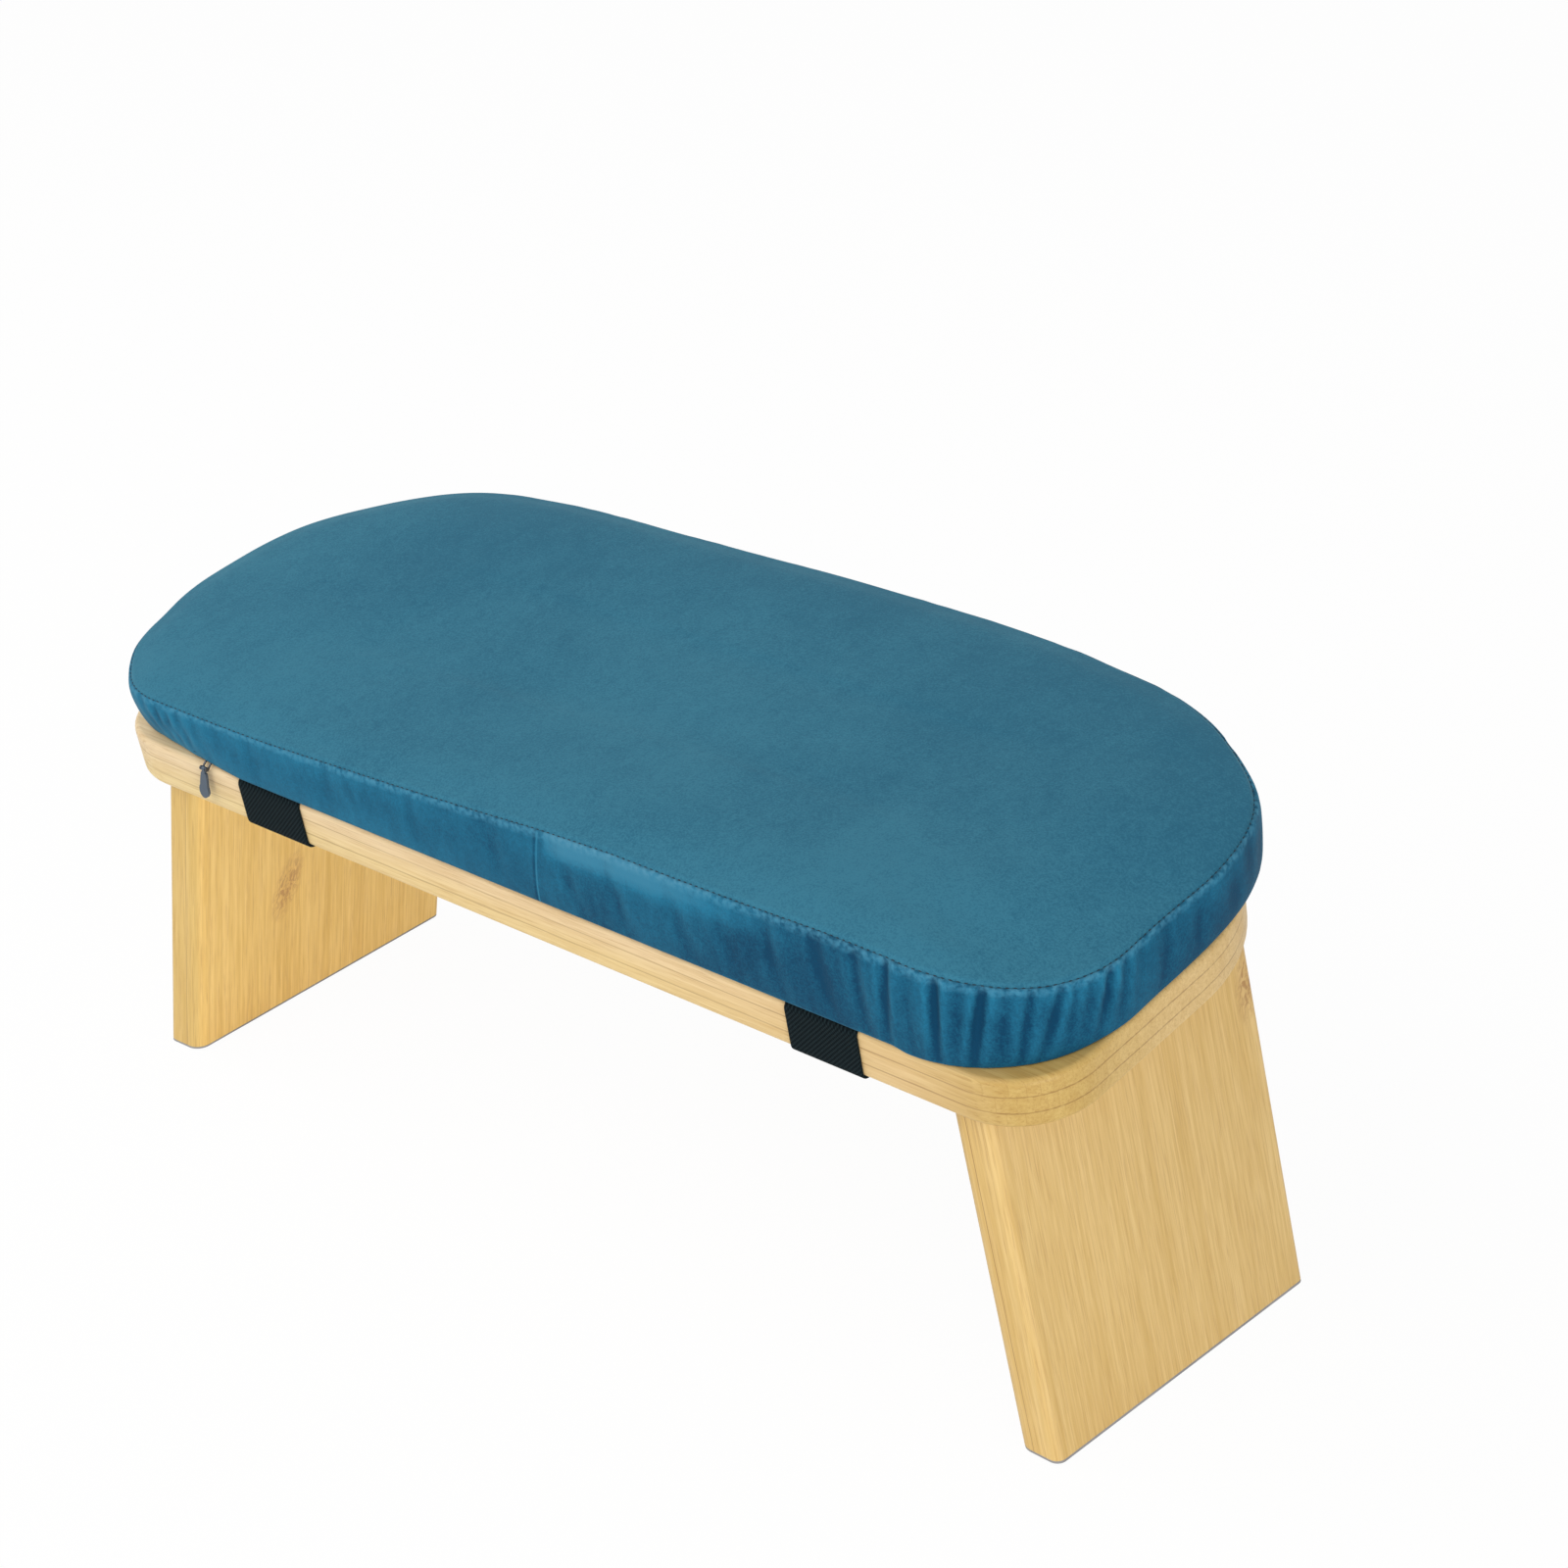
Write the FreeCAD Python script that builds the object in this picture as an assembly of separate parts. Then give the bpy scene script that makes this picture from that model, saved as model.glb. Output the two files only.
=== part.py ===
"""Folding meditation bench: a D-shaped bamboo board that slopes down to its straight
front, on two splayed bamboo legs that fold flat under it on butt hinges, with a zipped
box cushion held on by two elastic straps.

Millimetres. X runs along the bench, the straight front faces -Y, +Z is up. The origin is
on the floor, under the middle of the open bench.

Two working frames are used. The seat frame has its origin at the middle of the front edge
of the board's underside: X along the bench, Y over the board's depth, Z off the board. The
leg frame stands on the line where the right leg's outer face meets the underside: X out of
the leg's outer face, Y over the board's depth, Z up in the plane of the leg.
"""
import FreeCAD, Part
import math
import os

from FreeCAD import Placement, Rotation, Vector

# Board
BOARD_LENGTH = 500.0
BOARD_DEPTH = 194.0
BOARD_THICKNESS = 21.0
BOARD_FRONT_CORNER = 33.0
BOARD_REAR_CORNER = 80.0
BOARD_REAR_BOW = 900.0
BOARD_ARRIS = 2.5
SEAT_TILT_DEG = 8.0
FRONT_HEIGHT = 138.3

# Legs and their pads
LEG_THICKNESS = 19.0
LEG_DEPTH = 150.0
LEG_SPLAY_DEG = 11.7
LEG_TOP_INSET = 28.4
LEG_SETBACK = 5.0
LEG_OUTER_FRONT_ROUND = 4.0
LEG_INNER_FRONT_ROUND = 6.0
LEG_REAR_ROUND = 4.0
PAD_THICKNESS = 1.0
PAD_INSET = 1.0

# Hinges
HINGE_LENGTH = 40.0
HINGE_END_MARGIN = 15.0
LEAF_WIDTH = 19.0
LEAF_THICKNESS = 1.5
LEAF_CORNER = 2.0
KNUCKLE_RADIUS = 3.0
KNUCKLE_COUNT = 3
KNUCKLE_END_GAP = 0.25
KNUCKLE_WOOD_GAP = 0.3
PIN_RADIUS = 1.5
PIN_CLEARANCE = 0.05

# Countersunk screws
SCREW_LENGTH = 13.0
SCREW_SHANK_RADIUS = 1.5
SCREW_HEAD_RADIUS = 2.9
SCREW_TIP_LENGTH = 2.5
SCREW_CLEARANCE = 0.05
SCREW_FROM_PIN = 12.0
SCREW_SPACING = 24.0

# Cushion
CUSHION_END_LAP = 0.5
CUSHION_FRONT_LAP = 0.4
CUSHION_REAR_LAP = 6.4
CUSHION_FRONT_CORNER = 55.0
CUSHION_REAR_CORNER = 98.0
CUSHION_REAR_BOW = 1300.0
CUSHION_REAR_FLAT = 75.0
CUSHION_EDGE_HEIGHT = 31.0
CUSHION_CROWN = 6.5
CUSHION_CROWN_REACH = 46.0
HEM_OUTSET = 1.2
SEAM_INSET = 0.4
BAND_BULGE = 2.6
BAND_STEPS = 6
CROWN_STEPS = 4
DRAW_IN_SHARE = 0.012
CLOTH = 1.2
FOAM_EASE = 0.3
SEAM_EASE = 0.1

# Elastic straps
STRAP_WIDTH = 35.0
STRAP_THICKNESS = 1.2
STRAP_EASE = 0.1
LEFT_STRAP_FROM_END = 107.0
RIGHT_STRAP_FROM_END = 98.0
STRAP_SEWN_FRONT = 20.0
STRAP_SEWN_REAR = 30.0

# Zip under the cushion's lower front edge
ZIP_END_MARGIN = 5.5
ZIP_TAPE_LEVEL = 4.2
ZIP_TAPE_THICKNESS = 0.4
ZIP_TAPE_BACK = 8.2
ZIP_COIL_Y = 4.5
ZIP_COIL_WIDTH = 3.0
ZIP_COIL_THICKNESS = 1.1
FLAP_LIFT = 1.6
STOP_LENGTH = 2.0
SLIDER_END_GAP = 0.5
SLIDER_LENGTH = 8.0
SLIDER_WIDTH = 5.2
SLIDER_GAP = 0.2
SLIDER_STRAP_GAP = 0.3
SLIDER_CORNER = 1.2
BAIL_THICKNESS = 0.5
BAIL_ARM_WIDTH = 0.7
BAIL_TURN_DEG = 60.0
BAIL_BAR_RADIUS = 0.45
BAIL_EYE_RADIUS = 0.9
PULL_PIVOT_Y = -2.0
PULL_PIVOT_LEVEL = 0.2
PULL_EYE_LENGTH = 2.2
PULL_EYE_RADIUS = 1.0
PULL_LENGTH = 14.0
PULL_WIDTH = 5.6
PULL_NECK_WIDTH = 2.4
PULL_THICKNESS = 1.2
PULL_WIDEST_SHARE = 0.6

OVERRUN = 10.0
ROUND_LIMIT_SHARE = 0.45

TILT = math.radians(SEAT_TILT_DEG)
SPLAY = math.radians(LEG_SPLAY_DEG)

X_AXIS = Vector(1, 0, 0)
Y_AXIS = Vector(0, 1, 0)
Z_AXIS = Vector(0, 0, 1)
ORIGIN = Vector(0, 0, 0)

SEAT_PLACE = Placement(Vector(0, 0, FRONT_HEIGHT), Rotation(X_AXIS, SEAT_TILT_DEG))
LEG_TOP_X = BOARD_LENGTH / 2 - LEG_TOP_INSET
LEG_PLACE = SEAT_PLACE * Placement(Vector(LEG_TOP_X, 0, 0), Rotation(Y_AXIS, -LEG_SPLAY_DEG))

# The pin's axis lies this far from the wood of both the board and the leg.
PIN_OFFSET = KNUCKLE_RADIUS + KNUCKLE_WOOD_GAP
INNER_TOP_X = LEG_TOP_X - LEG_THICKNESS / math.cos(SPLAY)
PIN_X = INNER_TOP_X + PIN_OFFSET * math.tan(SPLAY) - PIN_OFFSET / math.cos(SPLAY)
LEG_TOP_DEPTH = LEG_DEPTH / math.cos(TILT)
FRONT_HINGE_Y = LEG_SETBACK + HINGE_END_MARGIN
REAR_HINGE_Y = LEG_SETBACK + LEG_TOP_DEPTH - HINGE_END_MARGIN - HINGE_LENGTH
FOLD_DEG = 90.0 + LEG_SPLAY_DEG

CUSHION_LENGTH = BOARD_LENGTH + 2 * CUSHION_END_LAP
CUSHION_DEPTH = BOARD_DEPTH + CUSHION_FRONT_LAP + CUSHION_REAR_LAP
STRAP_TOP = STRAP_EASE + STRAP_THICKNESS
LEFT_STRAP_X = LEFT_STRAP_FROM_END - BOARD_LENGTH / 2
RIGHT_STRAP_X = BOARD_LENGTH / 2 - RIGHT_STRAP_FROM_END

# The zip runs along the straight part of the cushion's front. Its slider parks at the left end.
ZIP_HALF_LENGTH = CUSHION_LENGTH / 2 - CUSHION_FRONT_CORNER - ZIP_END_MARGIN
COIL_HALF_LENGTH = ZIP_HALF_LENGTH - 2 * STOP_LENGTH
SLIDER_PARK_X = SLIDER_LENGTH / 2 + SLIDER_END_GAP - COIL_HALF_LENGTH
SLIDER_LEVEL = STRAP_TOP + SLIDER_STRAP_GAP

BOARD_OUTLINE = {
    "length": BOARD_LENGTH,
    "depth": BOARD_DEPTH,
    "front": 0.0,
    "front_corner": BOARD_FRONT_CORNER,
    "rear_corner": BOARD_REAR_CORNER,
    "bow": BOARD_REAR_BOW,
    "flat": 0.0,
    "draw": 0.0,
}
CUSHION_OUTLINE = {
    "length": CUSHION_LENGTH,
    "depth": CUSHION_DEPTH,
    "front": -CUSHION_FRONT_LAP,
    "front_corner": CUSHION_FRONT_CORNER,
    "rear_corner": CUSHION_REAR_CORNER,
    "bow": CUSHION_REAR_BOW,
    "flat": CUSHION_REAR_FLAT,
    "draw": DRAW_IN_SHARE,
}


def box(x0, x1, y0, y1, z0, z1):
    """Box between two corners."""
    return Part.makeBox(x1 - x0, y1 - y0, z1 - z0, Vector(x0, y0, z0))


def prism_along_x(points, x0, x1):
    """Polygon of (y, z) points, drawn at x0 and pulled to x1."""
    corners = [Vector(x0, y, z) for y, z in points]
    face = Part.Face(Part.makePolygon(corners + corners[:1]))
    return face.extrude(Vector(x1 - x0, 0, 0))


def stretch(start, end, draw):
    """Edge from start to end, drawn in at its middle by a share of its length."""
    if draw == 0:
        return Part.LineSegment(start, end).toShape()
    run = end - start
    inward = Z_AXIS.cross(run) * draw
    return Part.Arc(start, (start + end) * 0.5 + inward, end).toShape()


def arc_about(centre, radius, start_angle, end_angle):
    """Arc about a centre in a level plane."""
    def at(angle):
        return centre + Vector(radius * math.cos(angle), radius * math.sin(angle), 0)
    return Part.Arc(at(start_angle), at((start_angle + end_angle) / 2), at(end_angle)).toShape()


def d_wire(outline, inset, level):
    """Closed D outline, drawn inwards by inset, at one level."""
    half = outline["length"] / 2 - inset
    front = outline["front"] + inset
    rear = outline["front"] + outline["depth"] - inset
    front_r = outline["front_corner"] - inset
    rear_r = outline["rear_corner"] - inset
    bow_r = outline["bow"] - inset
    flat = outline["flat"]
    side_x = half - rear_r
    bow_y = rear - bow_r
    corner_y = bow_y + math.sqrt((bow_r - rear_r) ** 2 - (side_x - flat) ** 2)
    turn = math.atan2(corner_y - bow_y, side_x - flat)
    front_y = front + front_r
    quarter = math.pi / 2
    right_front = Vector(half - front_r, front, level)
    left_front = Vector(front_r - half, front, level)
    edges = [
        Part.LineSegment(left_front, right_front).toShape(),
        arc_about(Vector(half - front_r, front_y, level), front_r, -quarter, 0),
        stretch(Vector(half, front_y, level), Vector(half, corner_y, level), outline["draw"]),
        arc_about(Vector(side_x, corner_y, level), rear_r, 0, turn),
        arc_about(Vector(flat, bow_y, level), bow_r, turn, quarter),
    ]
    if flat > 0:
        edges.append(stretch(Vector(flat, rear, level), Vector(-flat, rear, level), outline["draw"]))
    edges += [
        arc_about(Vector(-flat, bow_y, level), bow_r, quarter, math.pi - turn),
        arc_about(Vector(-side_x, corner_y, level), rear_r, math.pi - turn, math.pi),
        stretch(Vector(-half, corner_y, level), Vector(-half, front_y, level), outline["draw"]),
        arc_about(Vector(front_r - half, front_y, level), front_r, math.pi, math.pi + quarter),
    ]
    return Part.Wire(edges)


def d_plate(outline, inset, bottom, top):
    """Plate with the D outline between two levels."""
    return Part.Face(d_wire(outline, inset, bottom)).extrude(Vector(0, 0, top - bottom))


def lies_level(edge):
    """True for an edge that stays at one level."""
    return edge.BoundBox.ZLength < BOARD_ARRIS / 2


def board_body(grown):
    """The board with its rounded arrises, grown outwards all round."""
    plate = d_plate(BOARD_OUTLINE, -grown, -grown, BOARD_THICKNESS + grown)
    rims = [edge for edge in plate.Edges if lies_level(edge)]
    return plate.makeFillet(BOARD_ARRIS + grown, rims)


def leg_slab(inset):
    """Right leg in the leg frame, before its ends are bevelled."""
    lean = math.cos(SPLAY) * math.tan(TILT)
    up = FRONT_HEIGHT / 2
    down = -2 * FRONT_HEIGHT
    front = LEG_SETBACK + inset
    rear = LEG_SETBACK + LEG_TOP_DEPTH - inset
    side = [
        (front + lean * up, up),
        (rear + lean * up, up),
        (rear + lean * down, down),
        (front + lean * down, down),
    ]
    inner_x = inset - LEG_THICKNESS
    outer_x = -inset
    slab = prism_along_x(side, inner_x, outer_x)
    limit = (outer_x - inner_x) * ROUND_LIMIT_SHARE
    outer_front = min(LEG_OUTER_FRONT_ROUND, limit) - inset
    inner_front = min(LEG_INNER_FRONT_ROUND, limit) - inset
    rear_round = min(LEG_REAR_ROUND, limit) - inset
    middle_x = (inner_x + outer_x) / 2
    middle_y = (front + rear + lean * (up + down)) / 2
    groups = {outer_front: [], inner_front: [], rear_round: []}
    for edge in slab.Edges:
        if edge.BoundBox.ZLength < FRONT_HEIGHT:
            continue
        centre = edge.CenterOfMass
        if centre.y > middle_y:
            groups[rear_round].append(edge)
        elif centre.x > middle_x:
            groups[outer_front].append(edge)
        else:
            groups[inner_front].append(edge)
    for radius, edges in groups.items():
        if edges:
            slab = slab.makeFillet(radius, [near_edge(slab, edge) for edge in edges])
    return slab


def near_edge(shape, wanted):
    """The shape's edge that lies where the wanted edge lies."""
    return min(shape.Edges, key=lambda edge: edge.CenterOfMass.distanceToPoint(wanted.CenterOfMass))


def bevel_top(shape):
    """Leg frame: cut off what stands above the board's underside."""
    reach = 2 * BOARD_LENGTH
    above = box(-reach, reach, -reach, reach, 0, reach)
    above.Placement = Placement(ORIGIN, Rotation(Y_AXIS, LEG_SPLAY_DEG))
    return shape.cut(above)


def placed(shape, place):
    """Copy of a shape moved by a placement."""
    copy = shape.copy()
    copy.Placement = place * copy.Placement
    return copy


def level_slice(shape, bottom, top):
    """Part of a placed shape between two heights above the floor."""
    reach = 2 * BOARD_LENGTH
    return shape.common(box(-reach, reach, -reach, reach, bottom, top))


def knuckle_spans(hinge_y, outer):
    """Lengths of the hinge that belong to its outer knuckles, or to those between them."""
    step = HINGE_LENGTH / KNUCKLE_COUNT
    spans = []
    for index in range(KNUCKLE_COUNT):
        if (index % 2 == 0) == outer:
            spans.append((hinge_y + index * step, hinge_y + (index + 1) * step))
    return spans


def hinge_leaf(hinge_y, side, outer_knuckles):
    """Leaf about a pin on the Y axis, screwed to wood that lies above it.

    The leaf reaches out along X on the given side. outer_knuckles says whether it owns the
    knuckles at the hinge's ends or the ones between them.
    """
    plate_top = PIN_OFFSET
    plate_bottom = PIN_OFFSET - LEAF_THICKNESS
    near, far = sorted((0, side * LEAF_WIDTH))
    plate = box(near, far, hinge_y, hinge_y + HINGE_LENGTH, plate_bottom, plate_top)
    corners = [edge for edge in plate.Edges if is_free_corner(edge, side)]
    plate = plate.makeFillet(LEAF_CORNER, corners)
    reach = KNUCKLE_RADIUS + KNUCKLE_WOOD_GAP
    for start, end in knuckle_spans(hinge_y, not outer_knuckles):
        plate = plate.cut(box(-reach, reach, start - KNUCKLE_END_GAP / 2, end + KNUCKLE_END_GAP / 2,
                              plate_bottom - OVERRUN, plate_top + OVERRUN))
    leaf = plate
    last = hinge_y + HINGE_LENGTH
    for start, end in knuckle_spans(hinge_y, outer_knuckles):
        start_gap = 0 if start == hinge_y else KNUCKLE_END_GAP / 2
        end_gap = 0 if end == last else KNUCKLE_END_GAP / 2
        knuckle = Part.makeCylinder(KNUCKLE_RADIUS, end - start - start_gap - end_gap,
                                    Vector(0, start + start_gap, 0), Y_AXIS)
        leaf = leaf.fuse(knuckle)
    bore = Part.makeCylinder(PIN_RADIUS + PIN_CLEARANCE, HINGE_LENGTH + 2 * OVERRUN,
                             Vector(0, hinge_y - OVERRUN, 0), Y_AXIS)
    leaf = leaf.cut(bore)
    for spot in screw_spots(hinge_y, side):
        leaf = leaf.cut(screw_hole(spot))
    return leaf


def is_free_corner(edge, side):
    """True for the upright edges at the free end of a leaf."""
    upright = edge.BoundBox.ZLength > LEAF_THICKNESS / 2
    return upright and side * edge.CenterOfMass.x > LEAF_WIDTH / 2


def screw_spots(hinge_y, side):
    """Centres of a leaf's screw heads, on the leaf's free face."""
    middle = hinge_y + HINGE_LENGTH / 2
    half = SCREW_SPACING / 2
    level = PIN_OFFSET - LEAF_THICKNESS
    return [Vector(side * SCREW_FROM_PIN, y, level) for y in (middle - half, middle + half)]


def turned(points, base):
    """Solid turned about the upright through base from (radius, height) points."""
    profile = [base + Vector(radius, 0, height) for radius, height in points]
    face = Part.Face(Part.makePolygon(profile + profile[:1]))
    return face.revolve(base, Z_AXIS, 360)


def screw_hole(spot):
    """Countersink through the leaf and pilot hole in the wood, a little wider than the screw."""
    shank = SCREW_SHANK_RADIUS + SCREW_CLEARANCE
    head = SCREW_HEAD_RADIUS + SCREW_CLEARANCE
    return turned([(0, 0), (head, 0), (shank, LEAF_THICKNESS),
                   (shank, SCREW_LENGTH), (0, SCREW_LENGTH)], spot)


def screw(spot):
    """Countersunk wood screw, driven upwards from its head."""
    return turned([(0, 0), (SCREW_HEAD_RADIUS, 0), (SCREW_SHANK_RADIUS, LEAF_THICKNESS),
                   (SCREW_SHANK_RADIUS, SCREW_LENGTH - SCREW_TIP_LENGTH), (0, SCREW_LENGTH)], spot)


def hinge_pin(hinge_y):
    """Pin with its ends flush with the outer knuckles."""
    return Part.makeCylinder(PIN_RADIUS, HINGE_LENGTH, Vector(0, hinge_y, 0), Y_AXIS)


# A leaf drawn about the pin is placed on the board as it is. The leg's leaf is turned a
# quarter, so that the wood lies outwards of the pin and the leaf hangs down.
SEAT_PIN_PLACE = Placement(Vector(PIN_X, 0, -PIN_OFFSET), Rotation())
LEG_PIN_UP = ((PIN_X - LEG_TOP_X) * -math.sin(SPLAY)) - PIN_OFFSET * math.cos(SPLAY)
LEG_PIN_PLACE = Placement(Vector(-LEG_THICKNESS - PIN_OFFSET, 0, LEG_PIN_UP), Rotation(Y_AXIS, 90))
HINGE_STARTS = {"front": FRONT_HINGE_Y, "rear": REAR_HINGE_Y}
SEAT_SIDE = -1
LEG_SIDE = 1


def right_leg_parts():
    """Right leg, its foot pad, its two hinge leaves and their screws, in the leg frame."""
    leg = bevel_top(leg_slab(0))
    screws = []
    parts = {}
    for name, start in HINGE_STARTS.items():
        for spot in screw_spots(start, LEG_SIDE):
            leg = leg.cut(placed(screw_hole(spot), LEG_PIN_PLACE))
            screws.append(placed(screw(spot), LEG_PIN_PLACE))
        parts[name + "_leg_leaf"] = placed(hinge_leaf(start, LEG_SIDE, False), LEG_PIN_PLACE)
    parts["leg_leaf_screws"] = Part.makeCompound(screws)
    reach = 2 * BOARD_LENGTH
    standing = {name: placed(shape, LEG_PLACE) for name, shape in parts.items()}
    standing["leg"] = level_slice(placed(leg, LEG_PLACE), PAD_THICKNESS, reach)
    standing["foot_pad"] = level_slice(placed(leg_slab(PAD_INSET), LEG_PLACE), 0, PAD_THICKNESS)
    return standing


def seat_board():
    """Board with its pilot holes, in the seat frame."""
    board = board_body(0)
    for start in HINGE_STARTS.values():
        for spot in screw_spots(start, SEAT_SIDE):
            hole = placed(screw_hole(spot), SEAT_PIN_PLACE)
            board = board.cut([hole, mirrored(hole)])
    return board


def mirrored(shape):
    """The same shape at the other end of the bench."""
    return shape.mirror(ORIGIN, X_AXIS)


def seat_hinge_parts():
    """Right seat leaves and pins and all the screws in the board, in the seat frame."""
    parts = {}
    screws = []
    for name, start in HINGE_STARTS.items():
        parts[name + "_seat_leaf"] = placed(hinge_leaf(start, SEAT_SIDE, True), SEAT_PIN_PLACE)
        parts[name + "_hinge_pin"] = placed(hinge_pin(start), SEAT_PIN_PLACE)
        for spot in screw_spots(start, SEAT_SIDE):
            one = placed(screw(spot), SEAT_PIN_PLACE)
            screws += [one, mirrored(one)]
    return parts, Part.makeCompound(screws)


def band_body(inset):
    """Solid inside the cushion's side band, which bulges between the hem and the top seam."""
    wires = []
    for step in range(BAND_STEPS + 1):
        share = step / BAND_STEPS
        straight = SEAM_INSET * share - HEM_OUTSET * (1 - share)
        bulge = BAND_BULGE * math.sin(math.pi * share)
        level = above_board(CUSHION_EDGE_HEIGHT * share)
        wires.append(d_wire(CUSHION_OUTLINE, straight - bulge + inset, level))
    return Part.makeLoft(wires, True, True)


def crown_body(inset):
    """Solid inside the cushion's top panel, which rises from the top seam to a flat crown."""
    wires = []
    for step in range(CROWN_STEPS + 1):
        turn = math.pi / 2 * step / CROWN_STEPS
        reach = CUSHION_CROWN_REACH * (1 - math.cos(turn))
        rise = (CUSHION_CROWN - inset) * math.sin(turn)
        level = above_board(CUSHION_EDGE_HEIGHT + rise)
        wires.append(d_wire(CUSHION_OUTLINE, SEAM_INSET + reach + inset, level))
    return Part.makeLoft(wires, True, True)


def above_board(level):
    """Seat-frame height of a level given above the board's top."""
    return BOARD_THICKNESS + level


def zip_room(back, top):
    """Room along the cushion's lower front edge, below a level."""
    half = ZIP_HALF_LENGTH
    return box(-half, half, -OVERRUN, back, above_board(-OVERRUN), above_board(top))


def strap_room():
    """Room under the cushion for the straps' sewn ends."""
    half = STRAP_WIDTH / 2 + SEAM_EASE
    top = above_board(STRAP_TOP + SEAM_EASE)
    rooms = []
    for middle in (LEFT_STRAP_X, RIGHT_STRAP_X):
        for start, end in ((-OVERRUN, STRAP_SEWN_FRONT + SEAM_EASE),
                           (BOARD_DEPTH - STRAP_SEWN_REAR - SEAM_EASE, BOARD_DEPTH + OVERRUN / 2)):
            rooms.append(box(middle - half, middle + half, start, end, above_board(-OVERRUN), top))
    return rooms


def cushion_parts():
    """Foam and the three panels of its cover, in the seat frame."""
    tape_top = ZIP_TAPE_LEVEL + ZIP_TAPE_THICKNESS
    lip_back = ZIP_TAPE_BACK + CLOTH
    band = band_body(0).cut(band_body(CLOTH)).cut(zip_room(ZIP_TAPE_BACK, FLAP_LIFT))
    top = crown_body(0).cut(crown_body(CLOTH))
    hem = CLOTH + SEAM_EASE - HEM_OUTSET
    bottom = d_plate(CUSHION_OUTLINE, hem, above_board(0), above_board(CLOTH))
    bottom = bottom.cut(zip_room(ZIP_TAPE_BACK, tape_top))
    lip = box(-ZIP_HALF_LENGTH, ZIP_HALF_LENGTH, ZIP_TAPE_BACK, lip_back,
              above_board(0), above_board(tape_top))
    bottom = bottom.fuse(lip).removeSplitter().cut(strap_room())
    ease = CLOTH + FOAM_EASE
    foam = band_body(ease).fuse(crown_body(ease))
    below = box(-BOARD_LENGTH, BOARD_LENGTH, -BOARD_DEPTH, 2 * BOARD_DEPTH,
                -BOARD_THICKNESS, above_board(CLOTH))
    foam = foam.cut([below, zip_room(lip_back + SEAM_EASE, tape_top + SEAM_EASE)] + strap_room())
    return {
        "cushion_foam": foam,
        "cushion_top_panel": top,
        "cushion_side_band": band,
        "cushion_bottom_panel": bottom,
    }


def strap(middle):
    """Elastic strap round the board, with both ends sewn under the cushion."""
    ring = board_body(STRAP_TOP).cut(board_body(STRAP_EASE))
    half = STRAP_WIDTH / 2
    band = ring.common(box(middle - half, middle + half, -OVERRUN, BOARD_DEPTH + OVERRUN,
                           -OVERRUN, BOARD_THICKNESS + OVERRUN))
    gap = box(middle - STRAP_WIDTH, middle + STRAP_WIDTH,
              STRAP_SEWN_FRONT, BOARD_DEPTH - STRAP_SEWN_REAR,
              BOARD_THICKNESS / 2, BOARD_THICKNESS + OVERRUN)
    return band.cut(gap)


def zip_parts():
    """Zip tape, coil and end stops, in the seat frame."""
    front = -HEM_OUTSET - CUSHION_FRONT_LAP + CLOTH + SEAM_EASE
    tape_bottom = above_board(ZIP_TAPE_LEVEL)
    tape_end = ZIP_HALF_LENGTH - SEAM_EASE
    tape = box(-tape_end, tape_end, front, ZIP_TAPE_BACK,
               tape_bottom, tape_bottom + ZIP_TAPE_THICKNESS)
    coil = half_round(-COIL_HALF_LENGTH, COIL_HALF_LENGTH,
                      ZIP_COIL_WIDTH, ZIP_COIL_THICKNESS, tape_bottom)
    half = ZIP_COIL_WIDTH / 2
    stops = []
    for start in (-COIL_HALF_LENGTH - STOP_LENGTH, COIL_HALF_LENGTH):
        stops.append(box(start, start + STOP_LENGTH, ZIP_COIL_Y - half, ZIP_COIL_Y + half,
                         tape_bottom - ZIP_COIL_THICKNESS, tape_bottom))
    return {"zip_tape": tape, "zip_coil": coil, "zip_end_stops": Part.makeCompound(stops)}


def half_round(x0, x1, width, height, top):
    """Rounded rib hanging under a level, along the zip."""
    left = Vector(x0, ZIP_COIL_Y - width / 2, top)
    right = Vector(x0, ZIP_COIL_Y + width / 2, top)
    low = Vector(x0, ZIP_COIL_Y, top - height)
    edges = [Part.LineSegment(right, left).toShape(), Part.Arc(left, low, right).toShape()]
    return Part.Face(Part.Wire(edges)).extrude(Vector(x1 - x0, 0, 0))


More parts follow.
